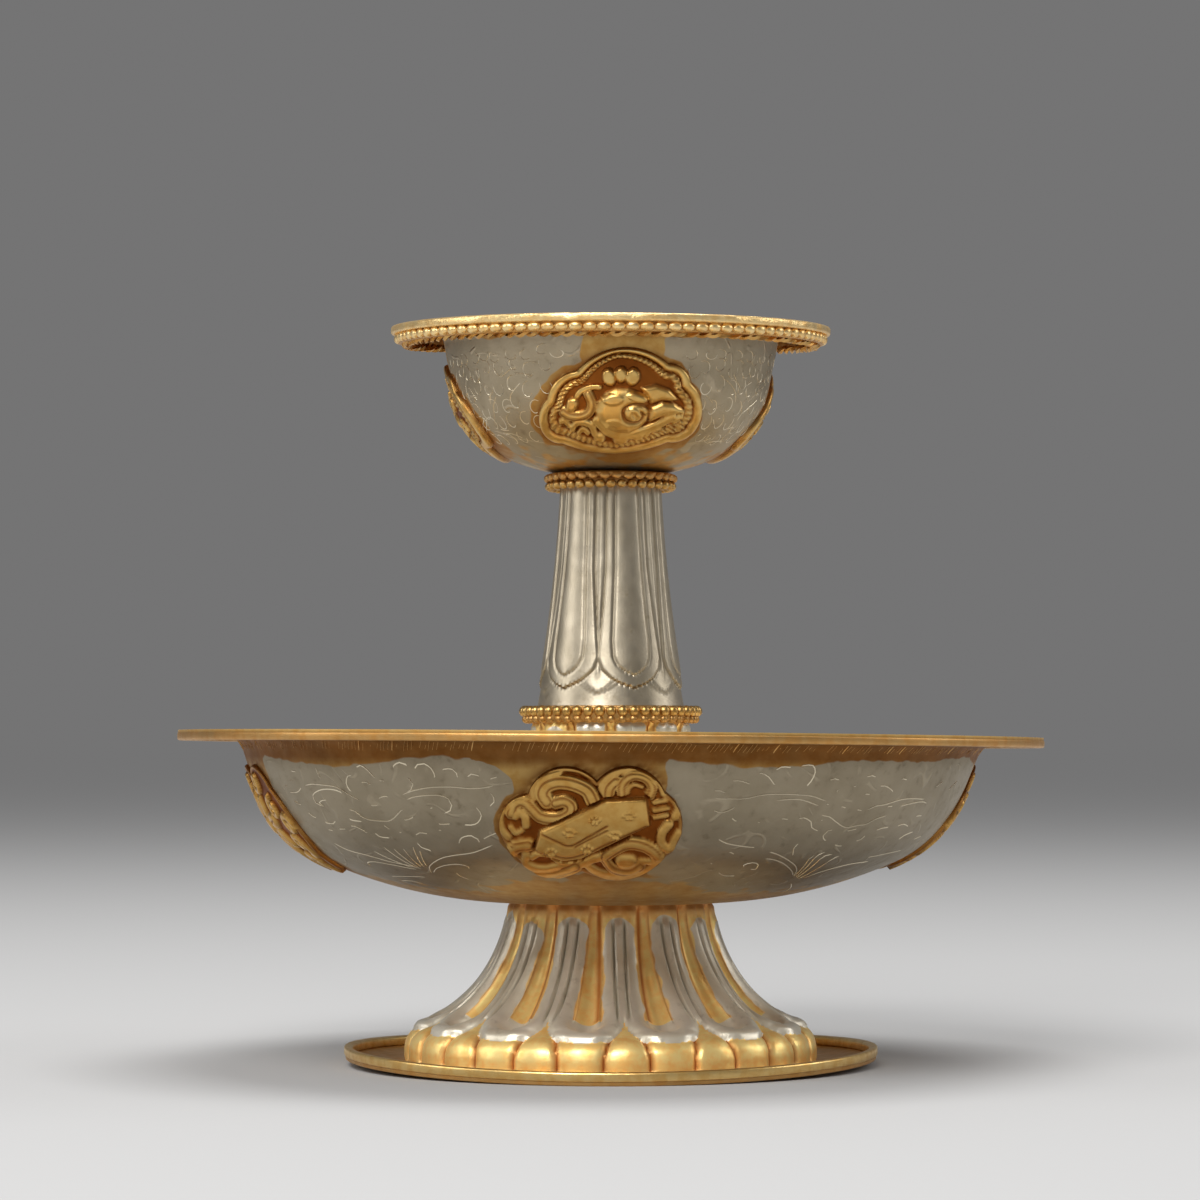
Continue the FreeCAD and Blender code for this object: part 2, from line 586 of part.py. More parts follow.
def beaded_wire(label, height, circle, size):
    """Round beads on a flat-topped core, hung under the flange at height."""
    body = new_piece(label, height)
    bead_radius, drop = size_of(size, "bead_radius"), size_of(size, "bead_drop")
    half_width = f"{size_of(size, 'core_width')} / 2"
    centre = f"-({bead_radius} + {drop})"
    core = new_sketch(body, "core", "XZ_Plane")
    inner, outer = f"{circle} - {half_width}", f"{circle} + {half_width}"
    draw_outline(core, [(inner, centre), (outer, centre), (outer, "0"), (inner, "0")])
    revolve(body, core, "core_ring")
    add_beads(body, circle, centre, bead_radius, size_of(size, "bead_count"))
    return body


def beaded_strip():
    """Beads round the edge of the ring between foot and stem, on a flat strip."""
    body = new_piece("stem_ring_beading", RING_SEAT)
    middle, reach = "Sizes.ring_height / 2", "Sizes.ring_beading_height / 2"
    edge = "Sizes.ring_radius"
    far = f"{edge} + Sizes.ring_bead_radius + Sizes.ring_bead_seat"
    low, high = f"{middle} - {reach}", f"{middle} + {reach}"
    strip = new_sketch(body, "strip", "XZ_Plane")
    draw_outline(strip, [(edge, low), (far, low), (far, high), (edge, high)])
    revolve(body, strip, "backing")
    add_beads(body, far, middle, "Sizes.ring_bead_radius", "Sizes.ring_bead_count")
    return body


# ---------------------------------------------------------------- the bowl on its foot

turned_ring("foot_plate", "0", "0", "Sizes.foot_plate_radius", "0", "Sizes.foot_plate_sheet")
turned_ring(
    "foot_edge_wire", "Sizes.foot_plate_sheet",
    "Sizes.foot_plate_radius - Sizes.foot_edge_width", "Sizes.foot_plate_radius",
    "0", "Sizes.foot_edge_height",
)
fluted_foot("lotus_foot", "lotus", "Sizes.foot_plate_sheet")
raised_vessel("bowl", "bowl", BOWL_SEAT)
turned_ring(
    "bowl_edge_wire", BOWL_RIM,
    "Sizes.bowl_rim_radius - Sizes.bowl_edge_width", "Sizes.bowl_rim_radius",
    "-Sizes.bowl_edge_height", "0",
)
for side in ("front", "left", "right", "back"):
    bowl_medallion(side)

# ---------------------------------------------------------------- the loose goblet

turned_ring(
    "goblet_foot_plate", GOBLET_SEAT, "0", "Sizes.goblet_plate_radius",
    "0", "Sizes.goblet_plate_sheet",
)
turned_ring(
    "goblet_foot_edge_wire", GOBLET_PLATE_TOP,
    "Sizes.goblet_plate_radius - Sizes.goblet_edge_width", "Sizes.goblet_plate_radius",
    "0", "Sizes.goblet_edge_height",
)
fluted_foot("goblet_foot", "goblet_foot", GOBLET_PLATE_TOP)
turned_ring(
    "stem_ring", RING_SEAT, "Sizes.ring_hole_radius", "Sizes.ring_radius",
    "0", "Sizes.ring_height",
)
beaded_strip()

stem = new_piece("stem", STEM_SEAT)
stem_section = new_sketch(stem, "section", "XZ_Plane")
draw_outline(
    stem_section,
    [
        ("Sizes.stem_foot_radius - Sizes.stem_sheet", "0"),
        ("Sizes.stem_foot_radius", "0"),
        ("Sizes.stem_neck_radius", "Sizes.stem_height"),
        ("Sizes.stem_neck_radius - Sizes.stem_sheet", "Sizes.stem_height"),
    ],
    {1: ("Sizes.stem_sweep", -1), 3: ("Sizes.stem_sweep + Sizes.stem_sheet", 1)},
)
revolve(stem, stem_section)

turned_ring("stem_collar", COLLAR_SEAT, "0", "Sizes.collar_radius", "0", "Sizes.collar_sheet")
beaded_wire(
    "stem_collar_beading", COLLAR_SEAT,
    "(Sizes.collar_radius - Sizes.collar_bead_radius)", "collar",
)
raised_vessel("cup", "cup", CUP_SEAT)
beaded_wire(
    "cup_rim_beading", CUP_RIM,
    "(Sizes.cup_rim_radius - Sizes.cup_bead_inset - Sizes.cup_bead_radius)", "cup",
)
twist = new_piece("cup_rim_twist", CUP_RIM)
twist_wire = twist.newObject("PartDesign::AdditiveTorus", "wire")
attach(twist, twist_wire, "XY_Plane", "0", "0", "-Sizes.cup_twist_radius")
twist_wire.setExpression("Radius2", "Sizes.cup_twist_radius")
twist_wire.setExpression(
    "Radius1",
    "Sizes.cup_rim_radius - Sizes.cup_bead_inset - 2 * Sizes.cup_bead_radius"
    " - Sizes.cup_twist_gap - Sizes.cup_twist_radius",
)
for side in ("front", "left", "right", "back"):
    cup_medallion(side)

# ---------------------------------------------------------------- check and write

doc.recompute()
for item in doc.Objects:
    if "Invalid" in item.State or "Error" in item.State:
        raise RuntimeError(f"{item.Label} did not build: {item.State}")
os.makedirs("parts", exist_ok=True)
for piece in pieces:
    shape = piece.Shape
    if shape.isNull() or not shape.isValid() or len(shape.Solids) != 1:
        raise RuntimeError(f"{piece.Label} is not one whole solid")
    shape.exportStep(f"parts/{piece.Label}.step")
    box = shape.BoundBox
    print(
        f"{piece.Label:24s} volume {shape.Volume:9.1f}  z {box.ZMin:7.2f} to {box.ZMax:7.2f}"
        f"  x {box.XMin:7.2f} to {box.XMax:7.2f}"
    )
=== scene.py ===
from math import cos, pi, radians, sin

import bpy
import numpy as np
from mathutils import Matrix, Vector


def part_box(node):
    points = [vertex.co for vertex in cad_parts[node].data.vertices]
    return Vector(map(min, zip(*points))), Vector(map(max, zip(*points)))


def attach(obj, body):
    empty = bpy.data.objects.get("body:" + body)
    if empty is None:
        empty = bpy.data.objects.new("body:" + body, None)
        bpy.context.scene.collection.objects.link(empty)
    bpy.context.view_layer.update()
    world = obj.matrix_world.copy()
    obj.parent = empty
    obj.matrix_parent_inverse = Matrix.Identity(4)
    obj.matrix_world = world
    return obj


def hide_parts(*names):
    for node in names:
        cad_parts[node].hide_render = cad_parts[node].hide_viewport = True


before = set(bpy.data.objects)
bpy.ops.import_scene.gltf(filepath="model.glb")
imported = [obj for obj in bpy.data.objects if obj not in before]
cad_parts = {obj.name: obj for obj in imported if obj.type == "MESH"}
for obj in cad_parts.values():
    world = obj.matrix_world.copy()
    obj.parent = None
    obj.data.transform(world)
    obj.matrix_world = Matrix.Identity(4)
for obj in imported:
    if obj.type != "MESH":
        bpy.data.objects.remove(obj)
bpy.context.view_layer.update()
MM = 0.001
STAND, GOBLET = "bowl_on_foot", "goblet"

# ---------------------------------------------------------------- room and camera
# A pale matt table top that runs out of sight, under two broad soft lamps, one above the
# front and one overhead, and two weaker ones at the sides. The camera, and what the metal
# mirrors, see a plain grey room. The camera stands level with the bowl's rim.

TABLE_SIZE = 30
TABLE_COLOUR = (0.44, 0.437, 0.433, 1)
TABLE_ROUGHNESS = 0.9
SKY_COLOUR = (0.72, 0.72, 0.73, 1)
SKY_STRENGTH = 0.55
FAR_COLOUR = (0.318, 0.316, 0.317, 1)
LAMP_AIM = (0, 0, 0.05)
LAMPS = (  # name, place, width in metres, watts
    ("lamp_above_front", (-0.30, -0.85, 0.80), 0.6, 11.0),
    ("lamp_overhead", (0.10, 0.05, 1.1), 0.6, 7.5),
    ("lamp_left", (-0.9, -0.15, 0.45), 0.5, 2.2),
    ("lamp_right", (0.95, 0.1, 0.5), 0.5, 2.0),
)
CAMERA_DISTANCE = 0.558
CAMERA_HEIGHT = 0.045
CAMERA_SIDE = -0.0015
CAMERA_PITCH = radians(2.0)
LENS, SENSOR = 120, 36


def nothing_selected():
    if bpy.context.object and bpy.context.object.mode != "OBJECT":
        bpy.ops.object.mode_set(mode="OBJECT")
    bpy.ops.object.select_all(action="DESELECT")


def new_node(tree, kind, inputs=None, **settings):
    """Add a shader node; inputs are numbers, colours or sockets, by name or number."""
    node = tree.nodes.new(kind)
    for name, setting in settings.items():
        setattr(node, name, setting)
    for key, given in (inputs or {}).items():
        if isinstance(given, bpy.types.NodeSocket):
            tree.links.new(given, node.inputs[key])
        else:
            node.inputs[key].default_value = given
    return node


nothing_selected()
bpy.ops.mesh.primitive_plane_add(size=TABLE_SIZE)
table = bpy.context.object
table.name = "table_top"
table_paint = bpy.data.materials.new("table_paint")
table_paint.use_nodes = True
table_shader = table_paint.node_tree.nodes["Principled BSDF"]
table_shader.inputs["Base Color"].default_value = TABLE_COLOUR
table_shader.inputs["Roughness"].default_value = TABLE_ROUGHNESS
table_shader.inputs["Specular IOR Level"].default_value = 0.0
table.data.materials.append(table_paint)

world = bpy.data.worlds.new("studio")
bpy.context.scene.world = world
world.use_nodes = True
sky = world.node_tree.nodes["Background"]
sky.inputs["Strength"].default_value = SKY_STRENGTH
ray = new_node(world.node_tree, "ShaderNodeLightPath").outputs
seen = new_node(
    world.node_tree, "ShaderNodeMath", {0: ray["Is Camera Ray"], 1: ray["Is Glossy Ray"]},
    operation="MAXIMUM",
).outputs[0]
sky_colour = new_node(
    world.node_tree, "ShaderNodeMix", {0: seen, 6: SKY_COLOUR, 7: FAR_COLOUR}, data_type="RGBA"
)
world.node_tree.links.new(sky_colour.outputs[2], sky.inputs["Color"])

for name, place, width, power in LAMPS:
    bpy.ops.object.light_add(type="AREA", location=place)
    lamp = bpy.context.object
    lamp.name = name
    lamp.data.size = width
    lamp.data.energy = power
    aim = Vector(LAMP_AIM) - Vector(place)
    lamp.rotation_euler = aim.to_track_quat("-Z", "Y").to_euler()

bpy.ops.object.camera_add(
    location=(CAMERA_SIDE, -CAMERA_DISTANCE, CAMERA_HEIGHT),
    rotation=(pi / 2 + CAMERA_PITCH, 0, 0),
)
camera = bpy.context.object
camera.data.lens = LENS
camera.data.sensor_width = SENSOR
bpy.context.scene.camera = camera
bpy.context.scene.view_settings.view_transform = "Standard"

# ---------------------------------------------------------------- foot plate
# A flat disc of gilt sheet that the set stands on, with a square wire soldered round its
# top edge. The gilding is orange where it was never burnished.


def finish_mesh(name, merge=1e-6, smooth=40):
    """Name the active piece, close its seams, turn its faces outward and smooth it.

    Vertices closer than merge metres are joined, and edges sharper than smooth stay sharp.
    """
    piece = bpy.context.object
    piece.name = name
    bpy.ops.object.mode_set(mode="EDIT")
    bpy.ops.mesh.select_all(action="SELECT")
    bpy.ops.mesh.remove_doubles(threshold=merge)
    bpy.ops.mesh.delete_loose()
    bpy.ops.mesh.select_all(action="SELECT")
    bpy.ops.mesh.normals_make_consistent(inside=False)
    bpy.ops.object.mode_set(mode="OBJECT")
    bpy.ops.object.shade_smooth_by_angle(angle=radians(smooth))
    return piece


def turned(name, section, steps=256):
    """Spin a closed section, given as (radius, height) in metres, round the axis."""
    nothing_selected()
    bpy.ops.mesh.primitive_circle_add(vertices=len(section), radius=0.01)
    piece = bpy.context.object
    for vertex, (radius, height) in zip(piece.data.vertices, section):
        vertex.co = (radius, 0, height)
    bpy.ops.object.mode_set(mode="EDIT")
    bpy.ops.mesh.select_all(action="SELECT")
    bpy.ops.mesh.spin(steps=steps, angle=2 * pi, center=(0, 0, 0), axis=(0, 0, 1))
    return finish_mesh(name)


def rounded_box_section(inner, outer, low, high, round_off, corner_steps=3):
    """A rectangle's outline in radius and height with rounded corners."""
    section = []
    corners = ((outer, high, 0), (inner, high, 90), (inner, low, 180), (outer, low, 270))
    for radius, height, start in corners:
        middle_r = radius + (round_off if radius == inner else -round_off)
        middle_z = height + (round_off if height == low else -round_off)
        for step in range(corner_steps + 1):
            angle = radians(start + 90 * step / corner_steps)
            section.append(
                (middle_r + round_off * cos(angle), middle_z + round_off * sin(angle))
            )
    return section


def turned_wire(name, inner, outer, low, high, round_off=0.0003, steps=256):
    """A ring of wire or strip between two radii and two heights."""
    return turned(name, rounded_box_section(inner, outer, low, high, round_off), steps)


SILVER_PALE, SILVER_GREY = (0.69, 0.64, 0.54, 1), (0.58, 0.53, 0.43, 1)
# The worn tone, and a lighter silver for the fine scoring: that lightness is a painted highlight.
SILVER_WORN, SILVER_SCORED_HIGHLIGHT = (0.44, 0.39, 0.30, 1), (0.86, 0.80, 0.68, 1)
SILVER_IN_HOLLOWS = (0.20, 0.165, 0.11, 1)
GOLD_PALE, GOLD_DEEP = (0.92, 0.65, 0.26, 1), (0.81, 0.50, 0.16, 1)
# The reds are the orange-brown of unburnished gilding, darkened further as painted shade for the
# recesses and the bands under the rims where they lie.
RED_PALE, RED_DEEP = (0.40, 0.135, 0.025, 1), (0.27, 0.08, 0.014, 1)


def skin_group():
    """Colour, roughness and height of parcel-gilt silver, hammered and hand finished."""
    group = bpy.data.node_groups.new("parcel_gilt_skin", "ShaderNodeTree")
    face = group.interface
    face.new_socket("Vector", in_out="INPUT", socket_type="NodeSocketVector")
    for name, start in (("Gilt", 1.0), ("Hollow", 0.0), ("Orange", 0.0), ("Chasing", 0.0)):
        socket = face.new_socket(name, in_out="INPUT", socket_type="NodeSocketFloat")
        socket.default_value = start
    for name, kind in (("Color", "Color"), ("Roughness", "Float"), ("Height", "Float")):
        face.new_socket(name, in_out="OUTPUT", socket_type=f"NodeSocket{kind}")
    given = new_node(group, "NodeGroupInput").outputs

    def noise(scale, detail=4.0):
        found = new_node(
            group, "ShaderNodeTexNoise",
            {"Vector": given["Vector"], "Scale": scale, "Detail": detail, "Roughness": 0.55},
        )
        return found.outputs["Fac"]

    def blend(factor, first, second):
        mixed = new_node(
            group, "ShaderNodeMix", {0: factor, 6: first, 7: second}, data_type="RGBA"
        )
        return mixed.outputs[2]

    def ramp(factor, low, high):
        found = new_node(
            group, "ShaderNodeMapRange",
            {"Value": factor, "From Min": low, "From Max": high},
            interpolation_type="SMOOTHSTEP",
        )
        return found.outputs["Result"]

    def sums(operation, *numbers):
        numbers = dict(enumerate(numbers))
        return new_node(group, "ShaderNodeMath", numbers, operation=operation).outputs[0]

    broad, fine, grain = noise(140), noise(620), noise(3200, 2.0)
    level = sums("FRACT", sums("MULTIPLY", noise(100, 1.0), 7.0))
    from_line = sums("ABSOLUTE", sums("SUBTRACT", level, 0.5))
    scored_and_highlit = sums("MULTIPLY", ramp(from_line, 0.10, 0.03), ramp(noise(260, 2.0), 0.50, 0.60))
    bare = sums("SUBTRACT", 1.0, given["Gilt"])
    scored_and_highlit = sums("MULTIPLY", scored_and_highlit, sums("MULTIPLY", bare, given["Chasing"]))
    silver = blend(ramp(broad, 0.35, 0.7), SILVER_PALE, SILVER_GREY)
    silver = blend(ramp(fine, 0.55, 0.85), silver, SILVER_WORN)
    # Along the fine scoring the silver is painted lighter: a painted highlight over real scored
    # dents.
    silver = blend(scored_and_highlit, silver, SILVER_SCORED_HIGHLIGHT)
    silver = blend(given["Hollow"], silver, SILVER_IN_HOLLOWS)
    gold = blend(ramp(fine, 0.35, 0.7), GOLD_PALE, GOLD_DEEP)
    red = blend(ramp(broad, 0.35, 0.65), RED_PALE, RED_DEEP)
    reddish = sums("MAXIMUM", given["Hollow"], given["Orange"])
    gold = blend(reddish, gold, red)
    colour = blend(given["Gilt"], silver, gold)
    rough = sums("MULTIPLY_ADD", fine, 0.22, 0.24)
    rough = sums("ADD", rough, sums("MULTIPLY", reddish, 0.18))
    dents = new_node(
        group, "ShaderNodeTexVoronoi",
        {"Vector": given["Vector"], "Scale": 380, "Smoothness": 0.6}, feature="SMOOTH_F1",
    ).outputs["Distance"]
    height = sums("ADD", sums("MULTIPLY", dents, 0.5), sums("MULTIPLY", grain, 0.12))
    height = sums("ADD", height, sums("MULTIPLY", scored_and_highlit, 0.6))
    new_node(group, "NodeGroupOutput", {"Color": colour, "Roughness": rough, "Height": height})
    return group


parcel_gilt_skin = skin_group()


def metal(
    name, gilt=1.0, hollow=0.0, orange=0.0, bump=0.00012, tint=(1, 1, 1), matt=0.0, chasing=0.0,
    frost=0.0, plain=None,
):
    """A parcel-gilt metal. Each mask is a number, or the name of a mesh attribute.

    As an attribute, gilt is the distance in millimetres inside the gilding's edge, which
    noise then makes uneven, and the other two are plain masks. tint multiplies the metal's
    colour, matt is added to its roughness, chasing is the strength of its fine scoring, and
    frost is how much of the surface is blanched white instead of polished. Where there is
    a plain tint, the attribute outside tells the chased face from the plain one within.
    """
    material = bpy.data.materials.new(name)
    material.use_nodes = True
    tree = material.node_tree
    shader = tree.nodes["Principled BSDF"]
    place = new_node(tree, "ShaderNodeTexCoord").outputs["Object"]

    def mask(given):
        if not isinstance(given, str):
            return given
        return new_node(tree, "ShaderNodeAttribute", attribute_name=given).outputs["Fac"]

    if isinstance(gilt, str):
        wobble = new_node(
            tree, "ShaderNodeTexNoise", {"Vector": place, "Scale": 380.0, "Detail": 1.2}
        )
        wander = new_node(
            tree, "ShaderNodeMath", {0: wobble.outputs["Fac"], 1: 1.3, 2: mask(gilt)},
            operation="MULTIPLY_ADD",
        )
        gilt = new_node(
            tree, "ShaderNodeMapRange",
            {"Value": wander.outputs[0], "From Min": 0.55, "From Max": 0.80},
            interpolation_type="SMOOTHSTEP",
        ).outputs["Result"]
    if plain:
        outside = mask("outside")
        chasing = new_node(
            tree, "ShaderNodeMath", {0: outside, 1: chasing}, operation="MULTIPLY"
        ).outputs[0]
        tint = new_node(
            tree, "ShaderNodeMix", {0: outside, 6: (*plain, 1), 7: (*tint, 1)}, data_type="RGBA"
        ).outputs[2]
    skin = new_node(
        tree, "ShaderNodeGroup",
        {"Vector": place, "Gilt": gilt, "Hollow": mask(hollow), "Orange": mask(orange),
         "Chasing": chasing},
        node_tree=parcel_gilt_skin,
    ).outputs
    dents = new_node(
        tree, "ShaderNodeBump", {"Height": skin["Height"], "Distance": bump, "Strength": 1.0}
    )
    toned = new_node(
        tree, "ShaderNodeVectorMath", {0: skin["Color"], 1: tint}, operation="MULTIPLY"
    )
    rough = new_node(tree, "ShaderNodeMath", {0: skin["Roughness"], 1: matt})
    tree.links.new(toned.outputs[0], shader.inputs["Base Color"])
    tree.links.new(rough.outputs[0], shader.inputs["Roughness"])
    tree.links.new(dents.outputs["Normal"], shader.inputs["Normal"])
    shader.inputs["Metallic"].default_value = 1.0 - frost
    shader.inputs["Specular IOR Level"].default_value = 0.3
    return material


def dress(piece, body, material, slot, *nodes):
    """Give a piece its metal and its body, and hide the CAD nodes that it stands for."""
    piece.data.materials.clear()
    piece.data.materials.append(material)
    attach(piece, body)
    if nodes:
        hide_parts(*nodes)
    return piece


def places_of(mesh):
    """The places of a mesh's vertices, as rows of x, y and z."""
    flat = np.empty(len(mesh.vertices) * 3, np.float32)
    mesh.vertices.foreach_get("co", flat)
    return flat.reshape(-1, 3)


def place_vertices(mesh, places):
    mesh.vertices.foreach_set("co", places.astype(np.float32).ravel())
    mesh.update()


def sway(piece, shift):
    """Raise or lower a piece unevenly: shift takes angle, radius and height, in metres."""
    places = places_of(piece.data)
    angle = np.arctan2(places[:, 1], places[:, 0])
    radius = np.hypot(places[:, 0], places[:, 1])
    places[:, 2] += shift(angle, radius, places[:, 2])
    place_vertices(piece.data, places)


PLATE_RADIUS = 0.0368
PLATE_LEVEL_RADIUS = 0.0285
PLATE_LIFT = 0.0009


def plate_sway(angle, radius, height):
    """The plate's edge is bent up at its two sides, beyond the lotus foot."""
    beyond = np.clip((radius - PLATE_LEVEL_RADIUS) / 0.0083, 0, 1)
    return PLATE_LIFT * np.cos(angle) ** 2 * beyond**1.5


bright_gilt = metal("bright_gilt")
orange_gilt = metal("orange_gilt", orange=0.55)

plate_low, plate_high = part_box("foot_plate")
wire_low, wire_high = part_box("foot_edge_wire")
plate_rings = (PLATE_LEVEL_RADIUS, 0.0310, 0.0335)
foot_plate = turned(
    "foot_plate_disc",
    [(0, plate_low.z), *((radius, plate_low.z) for radius in plate_rings),
     (PLATE_RADIUS - 0.0001, plate_low.z), (PLATE_RADIUS, plate_low.z + 0.0001),
     (PLATE_RADIUS, plate_high.z),
     *((radius, plate_high.z) for radius in plate_rings[::-1]), (0, plate_high.z)],
)
sway(foot_plate, plate_sway)
dress(foot_plate, STAND, orange_gilt, "gilt", "foot_plate")
foot_wire = turned_wire(
    "foot_edge_square_wire", inner=0.0358, outer=0.0370, low=wire_low.z, high=wire_high.z
)
sway(foot_wire, plate_sway)
dress(foot_wire, STAND, bright_gilt, "gilt", "foot_edge_wire")

# ---------------------------------------------------------------- lotus foot
# Sheet raised into a flared foot and chased with fourteen petals. Each petal is a gilt
# trough with a round silver rim; silver ribs with two fine grooves part them, and a gilt
# skirt of twice as many lobes with red-brown grooves meets the plate. It is soldered on.


def follow(points, spacing, soften=3):
    """Walk an outline of (radius, height) in even steps: places, normals and distance.

    The walk keeps the surface's outer side on its right, and soften rounds its corners.
    """
    points = np.array(points, float)
    steps = np.hypot(*np.diff(points, axis=0).T)
    distance = np.concatenate([[0], np.cumsum(steps)])
    count = int(round(distance[-1] / spacing)) + 1
    along = np.linspace(0, distance[-1], count)
    walk = np.stack([np.interp(along, distance, points[:, k]) for k in (0, 1)], 1)
    for _ in range(soften):
        walk[1:-1] = (walk[:-2] + 2 * walk[1:-1] + walk[2:]) / 4
    slope = np.gradient(walk, axis=0)
    slope /= np.hypot(*slope.T)[:, None]
    normal = np.stack([slope[:, 1], -slope[:, 0]], 1)
    return walk, normal, along


def hollow_arc(start, end, radius, side, count=60):
    """Points of the short arc from start to end, its centre left (1) or right (-1)."""
    start, end = np.array(start, float), np.array(end, float)
    chord = end - start
    length = np.hypot(*chord)
    left = np.array([-chord[1], chord[0]]) / length
    centre = (start + end) / 2 + left * side * np.sqrt(radius**2 - length**2 / 4)
    first = np.arctan2(*(start - centre)[::-1])
    turn = 2 * np.arcsin(length / (2 * radius)) * side
    angles = first + np.linspace(0, turn, count)
    return centre + radius * np.stack([np.cos(angles), np.sin(angles)], 1)


def new_grid(columns, rows):
    """A fresh grid's object, with the column and the row of each of its vertices."""
    nothing_selected()
    bpy.ops.mesh.primitive_grid_add(x_subdivisions=columns, y_subdivisions=rows, size=1)
    piece = bpy.context.object
    places = places_of(piece.data)
    column = np.rint((places[:, 0] + 0.5) * columns).astype(int)
    row = np.rint((places[:, 1] + 0.5) * rows).astype(int)
    return piece, column, row


def mask_vertices(mesh, masks):
    """Write masks over a mesh's vertices, which its material reads by name."""
    for name, mask in masks.items():
        attribute = mesh.attributes.new(name, "FLOAT", "POINT")
        attribute.data.foreach_set("value", mask.astype(np.float32))


def about_axis(radius, angle, height):
    """Places from their radius, their angle about the axis and their height."""
    return np.stack([radius * np.cos(angle), radius * np.sin(angle), height], -1)


def round_shell(name, columns, outer, inner, relief, gilt_beyond=None):
    """A closed shell about the axis with a worked outer face.

    outer is what follow() gave, with the outer side of the metal on the right; inner is a
    list of (radius, height) that leads back to its start. relief takes the angle and the
    distance along outer, in millimetres, and returns the height of the work in millimetres
    and the masks that its material reads. Beyond the radius gilt_beyond the inside is gilt.
    """
    walk, normal, along = outer
    section = np.concatenate([walk, np.array(inner, float)])
    out = np.concatenate([normal, np.zeros((len(inner), 2))])
    rows = len(section)
    piece, column, row = new_grid(columns, rows)
    row = row % rows
    angle = column * 2 * pi / columns
    worked = row < len(walk)
    far = np.where(worked, along[np.minimum(row, len(walk) - 1)], 0) / MM
    height, masks = relief(angle, far)
    masks = {key: np.where(worked, mask, mask.min()) for key, mask in masks.items()}
    if gilt_beyond:
        beyond = ~worked & (section[row, 0] > gilt_beyond)
        masks["gilding"] = np.where(beyond, 2.0, masks["gilding"])
        masks["outside"] = worked.astype(float)
    rise = np.where(worked, height, 0) * MM
    radius, height = (section[row] + out[row] * rise[:, None]).T
    mask_vertices(piece.data, masks)
    place_vertices(piece.data, about_axis(radius, angle, height))
    return finish_mesh(name)


def smooth_step(edge_low, edge_high, given):
    share = np.clip((given - edge_low) / (edge_high - edge_low), 0, 1)
    return share * share * (3 - 2 * share)


def soft_line(away, width):
    """A mask of a line, from how far away it lies."""
    return np.exp(-((away / width) ** 2))


RIB_GROOVE_ASIDE, RIB_GROOVE_WIDTH = 0.75, 0.19
FRONT = radians(270)


